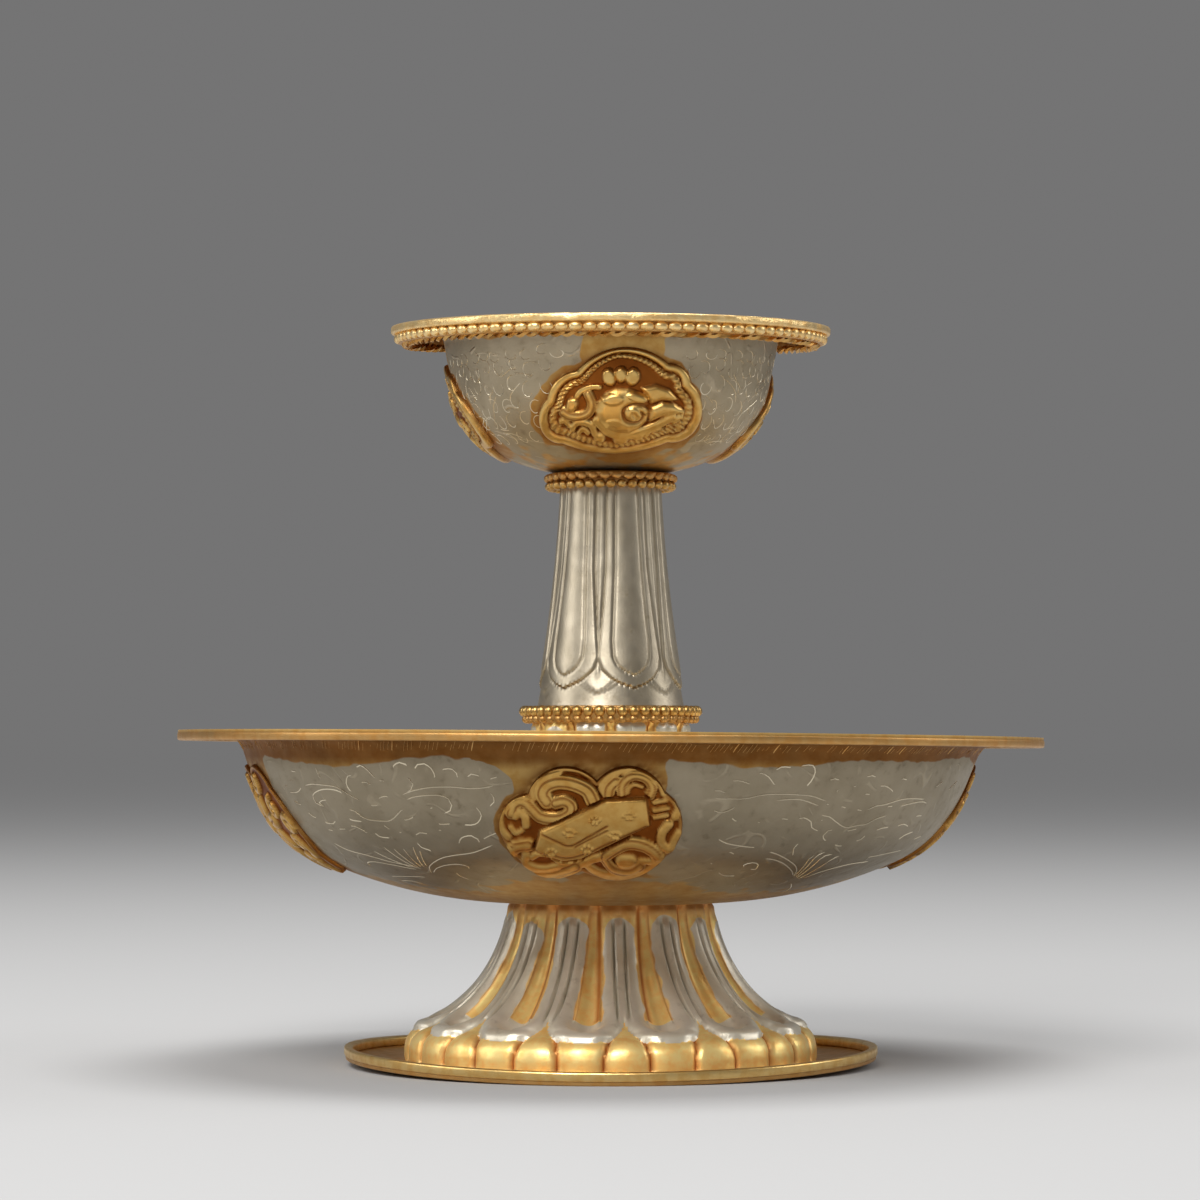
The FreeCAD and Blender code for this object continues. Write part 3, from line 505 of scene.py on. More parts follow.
def petal_relief(petals, turn, radius_at, trough, spots, band):
    """Work of a lotus foot: the trough, rim and ribs of its petals and the skirt's lobes.

    trough is the half width of a petal's hollow at the top and at its end; spots holds
    the distances down the side where neighbours part, the gilding ends, the hollow ends,
    the petal ends and the skirt is widest. Above band all is gilt. Each hollow has an orange
    flank of unburnished gilding, and the one nearer the front is made wider and redder: painted
    shade, for the side that faces away from the light.
    """
    part, gold_end, hollow_end, petal_end, bottom = spots
    sector = 2 * pi / petals
    wander = np.random.default_rng(petals)
    groove_shift = wander.uniform(-0.25, 0.25, petals)
    top_shift = wander.uniform(-1.0, 0.8, petals)

    def relief(angle, far):
        radius = np.interp(far, *radius_at)
        turned_angle = angle - turn
        from_petal = ((turned_angle + sector / 2) % sector - sector / 2) * radius
        across = np.abs(from_petal)
        half = sector / 2 * radius
        share = np.clip(far / hollow_end, 0, 1)
        hollow_half = trough[0] + (trough[1] - trough[0]) * share**1.2
        close = np.clip((far - (hollow_end - trough[1])) / trough[1], 0, 1)
        hollow_half = hollow_half * np.sqrt(1 - close**2)
        inside = (across < hollow_half) & (far < hollow_end)
        deep = 0.55 + 0.75 * share * (1 - 0.5 * close)
        bed = -deep * (1 - (across / np.maximum(hollow_half, 0.05)) ** 2)

        open_up = np.clip((far - part) / (petal_end - part), 0, 1)
        petal_half = half * 1.02 * np.sqrt(1 - np.minimum(open_up, 0.999) ** 2.2)
        on_petal = (across < petal_half) & (far < petal_end)
        below = np.clip((far - hollow_end) / (petal_end - hollow_end), 0, 1)
        beside = np.clip(
            (across - hollow_half) / np.maximum(petal_half - hollow_half, 0.05), 0, 1
        )
        swell = 0.30 + 0.55 * smooth_step(0.5 * petal_end, 0.85 * petal_end, far)
        rim = swell * np.sin(pi * np.maximum(beside, below)) ** 0.6

        border = np.rint((turned_angle + sector / 2) / sector).astype(int) % petals
        from_rib = ((turned_angle + sector) % sector - sector / 2) * radius
        fade = smooth_step(1.5, 3.0, far) * (1 - smooth_step(0.70, 0.86, far / petal_end))
        shift = groove_shift[border]
        grooves = sum(
            soft_line(from_rib - place - shift, RIB_GROOVE_WIDTH)
            for place in (-RIB_GROOVE_ASIDE, RIB_GROOVE_ASIDE)
        )
        rib = (0.44 - 0.48 * grooves - 0.10 * from_rib**2) * fade
        ribbed = np.maximum(rim * (1 - 0.55 * fade), 0) + rib * (across > hollow_half)
        height = np.where(inside, bed, ribbed)

        drop = np.clip((far - part) / (bottom - part), 0, 1)
        groove_at = half * (1 - 0.5 * np.sqrt(drop))
        wide = 0.34 + 0.25 * (1 - drop)
        in_groove = soft_line(across - groove_at, wide)
        under = across < groove_at
        lobe_half = np.where(under, groove_at, half - groove_at)
        lobe_at = np.where(under, across, half - across)
        pillow = 0.45 * (1 - np.clip(lobe_at / np.maximum(lobe_half, 0.1), 0, 1) ** 2)
        skirt = pillow - 0.40 * in_groove - 0.25
        height = np.where(on_petal, height, skirt)
        seat = smooth_step(far.max() - 0.8, far.max(), far)
        height = height * (1 - seat) * smooth_step(0, 0.8, far)

        rib_top = band + top_shift[border] + 0.30 * from_rib**2
        gilt = np.maximum(hollow_half + 0.2 - across, rib_top - far)
        gilt = np.where(on_petal, np.minimum(gilt, (gold_end - far) * 2), 2.0)
        # The flank nearer the front is painted wider and redder than the far one: painted shade on
        # the side that faces away from the light.
        side = np.where(np.sin(angle - FRONT) > 0, -1, 1) * np.sign(from_petal)
        stripe = 0.30 + 0.25 * side
        flank = soft_line(across - hollow_half + 0.8 * stripe, 0.12 + 0.6 * stripe)
        red = np.maximum(flank * (0.85 + 0.1 * side) * (far < gold_end), in_groove * ~on_petal)
        red = np.maximum(red, 0.75 * smooth_step(band + 0.3, band - 1.5, far))
        dark = np.clip(grooves * fade * 0.7, 0, 1) * (across > hollow_half)
        return height, {"gilding": gilt, "hollows": dark, "reds": np.clip(red, 0, 1)}

    return relief


def fluted_foot(name, petals, turn, outline, inside, spacing, columns, **work):
    """A foot's shell over an outline from the plate up, with columns for each petal."""
    walk, normal, along = follow(outline, spacing)
    down = along[-1] - along
    relief = petal_relief(petals, turn, (down[::-1] / MM, walk[::-1, 0] / MM), **work)
    return round_shell(name, petals * columns, (walk, normal, down), inside, relief)


parcel_gilt = metal(
    "parcel_gilt", gilt="gilding", hollow="hollows", orange="reds",
    tint=(1.26, 1.26, 1.24), matt=0.04, frost=0.36,
)

LOTUS_TOP, LOTUS_LIP, LOTUS_SKIRT = 0.0140, 0.0252, 0.0285
foot_low, foot_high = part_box("lotus_foot")
lip_height = foot_low.z + 0.0051
lotus_side = hollow_arc((LOTUS_TOP, foot_high.z), (LOTUS_LIP, lip_height), 0.0214, 1)
lotus_outline = [
    (LOTUS_SKIRT, foot_low.z), (LOTUS_SKIRT, 0.0025), (0.0282, 0.0038), (0.0274, 0.0048),
    (0.0264, 0.0053), *lotus_side[::-1],
]
lotus_inside = [
    (LOTUS_TOP - 0.0012, foot_high.z), (0.0138, 0.0170), (0.0170, 0.0105),
    (0.0225, lip_height - 0.0014), (LOTUS_SKIRT - 0.0022, lip_height - 0.0024),
    (LOTUS_SKIRT - 0.0014, foot_low.z),
]
lotus = fluted_foot(
    "lotus_foot_petals", 14, radians(261.5), lotus_outline, lotus_inside, spacing=0.00026,
    columns=36, trough=(0.8, 2.1), spots=(16.4, 17.4, 20.7, 23.5, 26.0), band=1.9,
)
dress(lotus, STAND, parcel_gilt, "silver", "lotus_foot")

# ---------------------------------------------------------------- bowl
# One silver sheet raised into a wide bowl with a flat turned-out rim, and soldered on the
# lotus foot. Inside it is plain silver up to the gilt rim. Outside, gilding lies under the
# rim, round the medallions and on the bottom, with an uneven hand-brushed edge.


def wall_outline(seat, depth, floor, sweep, bend, angle, lip, flange, rim):
    """Underside of a raised vessel, in metres, from the axis to the rim; sizes in mm."""
    angle = radians(angle)
    along = np.array([cos(angle), sin(angle)])
    inward = np.array([-sin(angle), cos(angle)])
    lip_centre = np.array([rim - flange, depth - lip])
    sweep_centre = np.array([floor, sweep])
    mouth = lip_centre + inward * lip
    reach = mouth + inward * bend - sweep_centre
    run = reach @ along + np.sqrt((reach @ along) ** 2 - reach @ reach + (sweep - bend) ** 2)
    bend_centre = mouth + inward * bend - along * run
    outward = bend_centre - sweep_centre
    turn = np.arctan2(outward[1], outward[0])

    def arc(centre, radius, start, end, count):
        turns = np.linspace(start, end, count)
        return centre + radius * np.stack([np.cos(turns), np.sin(turns)], 1)

    points = np.concatenate([
        [(0, 0)],
        arc(sweep_centre, sweep, -pi / 2, turn, 60),
        arc(bend_centre, bend, turn, angle - pi / 2, 40),
        arc(lip_centre, lip, angle + pi / 2, pi / 2, 16),
        [(rim, depth)],
    ])
    return (points + (0, seat)) * MM


def lobed(corners):
    """An outline of arcs through corners (x, y, rise of the arc that leaves it), leftward."""
    outline = []
    for (x, y, rise), (next_x, next_y, _) in zip(corners, corners[1:] + corners[:1]):
        start, end = np.array([x, y]), np.array([next_x, next_y])
        length = np.hypot(*(end - start))
        radius = (length**2 / 4 + rise**2) / (2 * rise)
        points = hollow_arc(start, end, radius, 1, max(int(length / 0.22), 6))
        outline.extend(points[:-1])
    return np.array(outline)


def segment_distance(x, y, points, closed=False):
    """Distance from every place to a line through points, and the sign for an outline."""
    points = np.array(points, float)
    ends = np.roll(points, -1, axis=0) if closed else points[1:]
    starts = points if closed else points[:-1]
    nearest = np.full(np.shape(x), 1e9)
    crossings = np.zeros(np.shape(x), int)
    for (ax, ay), (bx, by) in zip(starts, ends):
        dx, dy = bx - ax, by - ay
        share = np.clip(((x - ax) * dx + (y - ay) * dy) / max(dx * dx + dy * dy, 1e-9), 0, 1)
        nearest = np.minimum(nearest, np.hypot(x - ax - share * dx, y - ay - share * dy))
        if closed:
            spans = (ay > y) != (by > y)
            crossings += spans & (x < ax + (y - ay) * dx / (dy or 1e-9))
    return np.where(crossings % 2, -nearest, nearest) if closed else nearest


def wash_relief(walk, turns, middle, outline, wash, neck, rise, band, bottom, warmth, most):
    """Gilding of a vessel's outer face, as the distance in mm inside the gilding's edge.

    The medallions stand at turns, in degrees, with their middle at one height and the same
    outline, wash round them, gilt neck above them (half width, shift aside, flare to the
    left) and rise of the gilt bottom below them. band is the distance along the wall where
    the gilt rim band starts, bottom the one at which the gilt bottom ends, warmth how red
    that is and most how far its gilding may reach beyond its own edge.
    """
    neck_half, shift, flare = neck
    places, _, along = walk
    height_at = (along / MM, places[:, 1] / MM)
    radius_at = (along / MM, places[:, 0] / MM)

    def relief(angle, far):
        height = np.interp(far, *height_at)
        radius = np.interp(far, *radius_at)
        wave = 0.45 * np.sin(5 * angle + 1.0) + 0.3 * np.sin(11 * angle + 2.2)
        gilt = far - band + wave
        # The gilt band under the rim is red-brown: partly its own unburnished gilding, partly
        # painted shade of the turned-out rim above it.
        reds = smooth_step(band - 1.5, band + 0.4, far) * 0.78
        reds = np.maximum(reds, warmth * smooth_step(bottom, bottom - 6, far))
        for turn in map(radians, turns):
            aside = (angle - turn + pi) % (2 * pi) - pi
            risen = bottom + rise * soft_line(aside, 0.42)
            gilt = np.maximum(gilt, np.minimum((risen - far) * 0.10, most))
            along_u = radius * np.sin(angle - turn)
            near = (np.abs(along_u) < 20) & (np.cos(angle - turn) > 0)
            away = np.full(far.shape, 99.0)
            away[near] = segment_distance(along_u[near], height[near] - middle, outline, True)
            uneven = 0.5 * np.sin(3 * np.arctan2(height - middle, along_u) + turn)
            gilt = np.maximum(gilt, wash + uneven - away)
            spread = flare * (np.clip(height - middle, 0, None) / 7) ** 8 * (along_u < shift)
            in_neck = neck_half + spread - np.abs(along_u - shift)
            gilt = np.maximum(gilt, np.where(near & (height > middle + 3), in_neck, -9))
            reds = np.maximum(reds, np.where(away > 0, 0.85 * np.exp(-away / 1.1), 0.2))
        return np.zeros(far.shape), {"gilding": gilt, "reds": reds}

    return relief


def vessel_inside(walk, sheet, floor, floor_height, step):
    """Inner face of a raised vessel as (radius, height), from the rim to the axis."""
    places, normal, _ = walk
    inner = places - normal * sheet
    inner = inner[inner[:, 0] > floor][::-step]
    inner[:, 1] = np.maximum(inner[:, 1], floor_height)
    return [tuple(place) for place in inner] + [(floor, floor_height), (0, floor_height)]


BOWL_OUTLINE = lobed([
    (1.0, 6.0, 2.6), (-7.9, 4.4, 2.4), (-10.6, -2.6, 1.9),
    (-1.5, -5.5, 1.8), (9.0, -3.7, 2.4), (9.5, 4.7, 2.5),
])
BOWL_MEDALLIONS = {"front": 266.7, "left": 191, "right": 4, "back": 98}
BOWL_MIDDLE = 33.8
bowl_wall = wall_outline(
    seat=22.5, depth=22.3, floor=13, sweep=65, bend=18, angle=68, lip=3, flange=6.2, rim=60
)
bowl_walk = follow(bowl_wall, spacing=0.00045, soften=1)
bowl_work = wash_relief(
    bowl_walk, BOWL_MEDALLIONS.values(), BOWL_MIDDLE, BOWL_OUTLINE, wash=0.35,
    neck=(9.7, 0.1, 1.2), rise=9.0, band=58.7, bottom=30.0, warmth=0.35, most=2.0,
)
bowl_inside = vessel_inside(bowl_walk, sheet=0.0007, floor=0.0206, floor_height=0.02375, step=3)
bowl = round_shell(
    "raised_bowl", 480, bowl_walk, [(0.060, 0.0455)] + bowl_inside, bowl_work,
    gilt_beyond=0.0538,
)
# The outer silver is toned far darker than the plain inside: painted shade, for the wall that
# faces down under the turned-out rim.
raised_metal = metal(
    "raised_parcel_gilt", gilt="gilding", orange="reds",
    tint=(0.51, 0.465, 0.39), matt=0.12, chasing=0.6, plain=(0.92, 0.87, 0.77),
)


def bowl_sway(angle, radius, height):
    """The rim leans a little: it is highest at the front left."""
    lean = 0.00025 + 0.00065 * np.cos(angle - radians(210))
    return lean * smooth_step(0.0405, 0.0445, height)


sway(bowl, bowl_sway)
dress(bowl, STAND, raised_metal, "silver", "bowl")

# ---------------------------------------------------------------- bowl edge wire
# A half-round wire of gilt silver soldered under the turned-out rim, so that the edge
# reads as one thick round-cornered band with a fine step along its top.

rim_low, rim_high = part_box("bowl_edge_wire")
EDGE_STEP = 0.0004
edge_wire = turned_wire(
    "bowl_edge_wire_band", inner=0.0586, outer=0.0601, low=rim_low.z,
    high=rim_high.z + EDGE_STEP,
)
sway(edge_wire, bowl_sway)
dress(edge_wire, STAND, orange_gilt, "gilt", "bowl_edge_wire")

# ---------------------------------------------------------------- chasing on the bowl
# Leafy scrolls between the medallions and slanting strokes on the gilt band, each one
# line of a chasing tool. The lines stand as fine ridges on the wall; every panel has its
# own drawing, and the two back panels repeat the front ones reversed.


def wall_place(walk):
    """Where an angle and a distance along the wall lie, raised by a height, both in mm."""
    places, normal, along = walk

    def place(angle, far, height):
        radius, rise, out_r, out_z = (
            np.interp(far, along / MM, known) for known in (*places.T, *normal.T)
        )
        return about_axis(radius + out_r * height * MM, angle, rise + out_z * height * MM)

    return place


def smooth_stroke(points, spacing):
    """A curve through points in millimetres, sampled every spacing mm."""
    points = np.array(points, float)
    before, after = 2 * points[:1] - points[1:2], 2 * points[-1:] - points[-2:-1]
    padded = np.concatenate([before, points, after])
    curve = []
    for a, b, c, d in zip(padded, padded[1:], padded[2:], padded[3:]):
        count = max(int(np.hypot(*(c - b)) / spacing), 1)
        for share in np.arange(count) / count:
            curve.append(
                0.5 * (2 * b + (c - a) * share + (2 * a - 5 * b + 4 * c - d) * share**2
                       + (3 * b - a - 3 * c + d) * share**3)
            )
    curve.append(points[-1])
    return np.array(curve)


def new_tube(thickness):
    """A curve with no points yet, round in section, as a fresh object."""
    bpy.ops.curve.primitive_bezier_curve_add()
    curve = bpy.context.object.data
    curve.splines.clear()
    curve.dimensions = "3D"
    curve.bevel_depth = thickness
    curve.bevel_resolution = 0
    return curve


def panel_strokes(panels):
    """Strokes of (angle, distance) from panels of (strokes, middle, which way they run).

    A panel's strokes hold degrees from its middle and millimetres along the wall, in turn.
    """
    return [
        [(radians(middle + way * aside), far) for aside, far in zip(stroke[::2], stroke[1::2])]
        for strokes, middle, way in panels for stroke in strokes
    ]


def chased_lines(name, strokes, place, mm_per_radian, thick, sunk, spacing=0.5):
    """Fine round ridges along strokes of (angle, distance), tapering to both ends."""
    nothing_selected()
    curve = new_tube(thick * MM)
    curve.use_fill_caps = True
    for points in strokes:
        flat = smooth_stroke(np.array(points, float) * (mm_per_radian, 1), spacing)
        share = np.linspace(0, 1, len(flat))
        taper = np.sqrt(np.clip(np.minimum(share, 1 - share) * 9, 0.05, 1))
        lift = thick * (taper - 1) - sunk
        places = place(flat[:, 0] / mm_per_radian, flat[:, 1], lift)
        spline = curve.splines.new("POLY")
        spline.points.add(len(places) - 1)
        for point, (x, y, z), radius in zip(spline.points, places, taper):
            point.co = (x, y, z, 1)
            point.radius = radius
    bpy.ops.object.convert(target="MESH")
    return finish_mesh(name, merge=1e-8, smooth=60)


LEFT_PANEL = (
    (-15, 55.2, -12.1, 55.6, -8.9, 55.5, -5.7, 55.2, -3.4, 54.2, -1.8, 53.5, -0.3, 52.7),
    (-8.2, 52.5, -9.1, 53.2, -10.4, 53.3, -11.6, 52.9, -10.8, 52.4, -12.6, 52.9, -12.6, 54,
     -10.4, 54.7, -8, 54.9, -5.8, 54.7, -4.6, 54.2, -3.8, 53.5),
    (-5.5, 52, -3.6, 51.8, -2.5, 51, -1.3, 50.5, 0.8, 50.3, 3.1, 50.3, 4.9, 51, 6.4, 51.9,
     8.2, 52.3),
    (6.4, 53.6, 7.9, 54.3, 9.6, 54.8, 12.8, 55.3, 16.4, 55.4, 19.7, 55.2, 22.5, 55.4, 24.4, 55.8),
    (7.6, 53.3, 9.4, 53.9, 12, 54.2, 14.3, 54.2, 15.7, 53.7, 16, 52.8, 15.5, 52, 14.2, 51.6,
     13.5, 51.7), (11.5, 51.8, 12.3, 52.4, 13.1, 52.4),
    (19.3, 52.9, 20.2, 52.3, 20.6, 51.3, 19.7, 50.2, 18.4, 49.8, 16.6, 49.9),
    (12.2, 50.4, 12.9, 49.9, 15.4, 50), (6.9, 57.2, 7.2, 58.1, 8.4, 58.5, 9.4, 58.3, 10.2, 57.8),
    (10.6, 57.5, 11.5, 58.3, 12.7, 58.4, 13.8, 57.8, 14.1, 56.8, 13.4, 56.4),
    (14.9, 57.2, 15.8, 57.8, 17.2, 57.8, 17.8, 57.3, 17.8, 56.3),
    (19.1, 56.5, 20.1, 57.2, 21.1, 57, 21.7, 56.4), (22.3, 56, 23.2, 56.6, 24.5, 56.8),
    (-1, 57, -2.4, 56.8, -3.2, 55.8, -2.9, 54.8, -1.8, 54.3),
    (-0.5, 57.7, 0.8, 58.2, 2.1, 57.6, 3, 56.7, 3.3, 56.2), (-0.4, 55.8, 1.1, 56, 2.4, 55.3),
    (3.3, 56.2, 4.6, 56.2, 5, 55.8), (8.3, 56.6, 9.5, 56.5, 10, 55.7, 9.4, 54.9, 7.9, 54.3),
    (-9.9, 58.4, -9.4, 57.7, -9.2, 56.6, -8.2, 56),
    (-5.8, 51.3, -5.4, 50.4, -3.9, 50.2, -2.5, 50.1), (2.1, 53.3, 3.1, 53.8, 4.5, 54, 5.5, 53.4),
    (0, 52.6, 1.9, 52.7, 3, 52.8), (5.5, 50.6, 6.7, 50.5, 8.2, 50.9, 8.8, 51.4),
    (-13.6, 50.3, -12.6, 49.8, -10.6, 49.7, -9.2, 50.4), (-14.1, 48.6, -12.3, 48.5, -12.1, 47.8),
    (-10.4, 48.8, -7.8, 48.8), (-6.7, 49.4, -4.8, 49.2, -3.4, 48.3, -2.5, 48.1),
    (-1.5, 48.6, -0.8, 47.6, 1, 47.4, 2, 47.4), (1.3, 49.8, 2.3, 49.1, 2.7, 48.3),
    (3.4, 48.5, 4.4, 48.4, 5.5, 48.7), (-20.1, 53.4, -18.6, 52.7, -17.3, 52.5),
    (-16.9, 51.8, -15.7, 50.8, -14.4, 50.5), (-17.6, 57.4, -15.7, 57.4, -14.9, 57),
    (-18.6, 56.3, -17.3, 55.8), (-21.2, 55.6, -19.6, 54.9), (-20.4, 54.4, -17.3, 54.4, -15, 55.2),
    (6.8, 47.7, 8.3, 48.4, 10.2, 48.2), (11.3, 48.7, 12.5, 48.9, 13.4, 48.8),
    (6.6, 47.1, 6.9, 45.7, 8.2, 45.1, 8.9, 44.3),
    (14.6, 46.2, 15.9, 47.6, 17.8, 48, 18.7, 47.4, 18.7, 46.4),
    (19.3, 47.2, 20.7, 47.9, 22.8, 48.7), (2.7, 40.4, 5.3, 46.1), (2.1, 40.3, 2.7, 45.7),
    (1.4, 40.1, 0.3, 45.6), (0.7, 40, -1.9, 45.9), (-0.2, 40, -5.7, 44.9), (3.7, 40.7, 6.1, 45.2),
    (2.7, 39.2, -0.3, 40.9, -3.6, 41.8, -8.6, 43.5, -13.1, 44.7, -16.5, 46.9),
    (0.7, 39.4, -3.1, 40.5, -6.6, 41.4, -9.7, 41.8, -12.5, 41.2, -13, 39.4),
    (-1, 36.4, -3.4, 36.9, -9.3, 36.7, -14.5, 36.5), (-7.6, 33, -9.7, 34.7, -14.6, 34.7),
    (1.1, 37.2, 2.9, 39.2, 4.7, 41, 8.9, 43.1, 12.4, 44, 16.2, 44.6, 19.2, 45.6, 22.5, 47),
    (2.4, 38.2, 5.5, 40.2, 9, 41.4, 11.9, 41.7, 13.4, 41, 12.3, 39.5),
    (8.9, 39.1, 8.6, 37.5, 9.8, 36), (21.8, 54.7, 22.9, 54.4, 23.1, 53.3, 21.7, 52.4),
)
RIGHT_PANEL = (
    (-31.1, 54, -29.7, 53.8, -27.6, 53.8, -24.9, 53.8, -21.9, 54.3, -19.2, 54.4, -16.3, 54.3,
     -13.6, 54.1, -10.5, 53.3, -8.9, 52.5),
    (-20.2, 53.3, -18.4, 53.6, -15.4, 53.6, -12.5, 52.9, -11.3, 52.5),
    (-11.1, 52.6, -10, 52.9, -9, 52.4),
    (-11.6, 51.6, -10.3, 51.2, -8.8, 51, -7.2, 50.3, -5, 49.4, -3.6, 49.2, -1.7, 49.5, 0.3, 49.7,
     2, 50.5, 4.1, 50.9, 5.6, 50.9),
    (-2.4, 51.7, -0.9, 52, 0.5, 52.5, 2.6, 52.7, 6.6, 53.4, 10.2, 53.5, 14.8, 53.3),
    (6.4, 52.3, 9.2, 52.7, 13.2, 53, 15.7, 52.6), (-30.4, 54.9, -29, 54.9, -27.7, 54.4),
    (-27.7, 56.2, -26.3, 56.3, -24.7, 55.9, -23.7, 55.3),
    (-24, 56.9, -22.9, 57.3, -21.6, 56.8, -20.5, 55.8, -19.8, 55.4),
    (-20.9, 57.4, -19.8, 58.1, -17.6, 58),
    (-17.2, 57.8, -16.1, 58.3, -14.5, 58.3, -13.8, 57.4, -14.2, 56.1, -15.1, 55.2),
    (-11.2, 56.1, -9.9, 56.5, -8.5, 56.1), (-4, 56.5, -2.6, 56.9, -1.1, 56.5),
    (4, 55.9, 5.1, 56.4, 6.9, 56), (-8.8, 54, -8.8, 54.8, -7.8, 55.3),
    (-6.3, 55.1, -5.5, 55.4, -4.4, 55.6), (-3.6, 53.9, -2.6, 54.3, -1.3, 54.1),
    (-0.4, 55.3, 1.1, 55.4, 3.3, 54.7, 4, 53.9), (-7.6, 52.2, -6.9, 52.5, -5.5, 52.1),
    (-4.1, 51.7, -3.2, 52, -1.8, 51.7), (3.1, 52, 3.8, 52.4, 5.5, 52.4),
    (-18.5, 50.4, -17.5, 50.8, -16, 50.5),
    (-15, 50.5, -13.8, 50.9, -12, 50.2, -11.4, 49.3, -9.2, 48.5), (-10.7, 50.4, -9.3, 50.5),
    (-6.2, 48.8, -7.7, 48.7, -8.1, 47.8, -7.1, 47, -5.9, 46.9), (-4.5, 46.2, -3, 45.8, -1.5, 45.8),
    (-3.9, 48.5, -0.8, 49), (0, 46.6, 1.6, 47, 2, 48.1), (3.5, 48.4, 5, 48.9, 7.5, 49.1),
    (9.1, 49.1, 11, 49.5, 13.6, 49), (13.1, 50.3, 14.1, 50.8, 16.2, 50.8),
    (13.4, 46.3, 14.3, 47.4, 17.3, 48.2), (15.9, 55, 18.6, 56), (22.1, 54.5, 25.8, 56),
    (20.1, 46.5, 23.4, 47.2), (-3.7, 36.7, -7, 42.9, -5.9, 44),
    (-2.8, 36.3, -5.9, 43.1, -4.1, 44.8), (-1.9, 35.8, -4.2, 42.9, -1.5, 44.1),
    (-0.9, 35.4, -1.1, 42.3, 0.6, 43.7), (-0.1, 35.1, 1.8, 38.5, 6.6, 40.9, 13.6, 41.7),
    (8.9, 42.7, 15.3, 43.6, 21.4, 44.3), (15.1, 37.6, 15.2, 38.7),
    (-18.2, 45.1, -15.1, 44.2, -11.4, 42.6, -8.2, 40.9, -5.6, 38.8, -3.3, 36.1),
    (-18.2, 43.2, -15.8, 43.1, -12.6, 42.1, -7.9, 39.6, -4, 37),
    (-19.2, 40.5, -20.3, 41.5, -19, 42.2, -17.4, 41.7, -16.8, 40.2, -18.6, 40.2),
    (-28.2, 47.7, -26.1, 46.7, -23.2, 46.1, -20, 45.7),
    (-30, 52.2, -28.1, 51.8, -26.5, 52.4, -25.6, 52.8), (-26.7, 51.2, -25.7, 50.5, -24.6, 50.3),
    (-22.5, 50.3, -20.7, 50.1), (-11.4, 43.5, -12.6, 45.6, -12, 46.7), (-19.8, 47.5, -18.8, 46.9),
    (-27.7, 42.9, -27, 42.1, -26, 41.9), (-24.4, 39.4, -22.1, 38, -19.2, 37.9),
    (-25.7, 44.6, -24.5, 44.8, -23.3, 44.1), (-0.2, 34.2, 6.6, 30.6, 8.8, 28.2),
)

bowl_strokes = panel_strokes((
    (LEFT_PANEL, 228.9, 1), (RIGHT_PANEL, 315.3, 1),
    (LEFT_PANEL, 144.5, -1), (RIGHT_PANEL, 51.0, -1),
))
bowl_place = wall_place(bowl_walk)
# The ridges are a lighter silver than the wall: a painted highlight along the chased lines.
bright_silver = metal("bright_silver", gilt=0.0, tint=(1.18, 1.13, 1.01), bump=0.00003)
bowl_scrolls = chased_lines(
    "bowl_chased_scrolls", bowl_strokes, bowl_place, mm_per_radian=45, thick=0.105, sunk=0.045
)
sway(bowl_scrolls, bowl_sway)
dress(bowl_scrolls, STAND, bright_silver, "silver")

BOWL_HATCHES, BOWL_HATCH_SLANT = 520, 0.020
hatch_wander = np.random.default_rng(4)
bowl_hatch = []
for step in range(BOWL_HATCHES):
    angle = 2 * pi * step / BOWL_HATCHES
    start, end = hatch_wander.uniform(59.2, 59.7), hatch_wander.uniform(60.9, 61.6)
    bowl_hatch.append([(angle, start), (angle + BOWL_HATCH_SLANT, end)])
hatching = chased_lines(
    "bowl_rim_hatching", bowl_hatch, bowl_place, mm_per_radian=50, thick=0.11, sunk=0.04,
    spacing=1.2,
)
sway(hatching, bowl_sway)
dress(hatching, STAND, orange_gilt, "gilt")

# ---------------------------------------------------------------- bowl medallions
# Four plaques chased in high relief, gilt, and soldered on the wall. Front and back show
# a tilted tablet with dotted flowers among cloud scrolls; the side pair shows a flower.
# Their hollows keep the red-brown of unburnished gilding, deepened as painted shade.


def scroll(x, y, start, end, first, last, count=14):
    """A spiral's points about (x, y), its radius going from start to end, in degrees."""
    angles = np.radians(np.linspace(first, last, count))
    radius = np.linspace(start, end, count)
    return [(x + r * cos(a), y + r * sin(a)) for r, a in zip(radius, angles)]


def oval(x, y, wide, high, tilt=0.0, count=28):
    """An ellipse's outline with its long axis turned by tilt degrees."""
    turn = radians(tilt)
    angles = np.linspace(0, 2 * pi, count, endpoint=False)
    return [
        (x + wide * cos(a) * cos(turn) - high * sin(a) * sin(turn),
         y + wide * cos(a) * sin(turn) + high * sin(a) * cos(turn))
        for a in angles
    ]


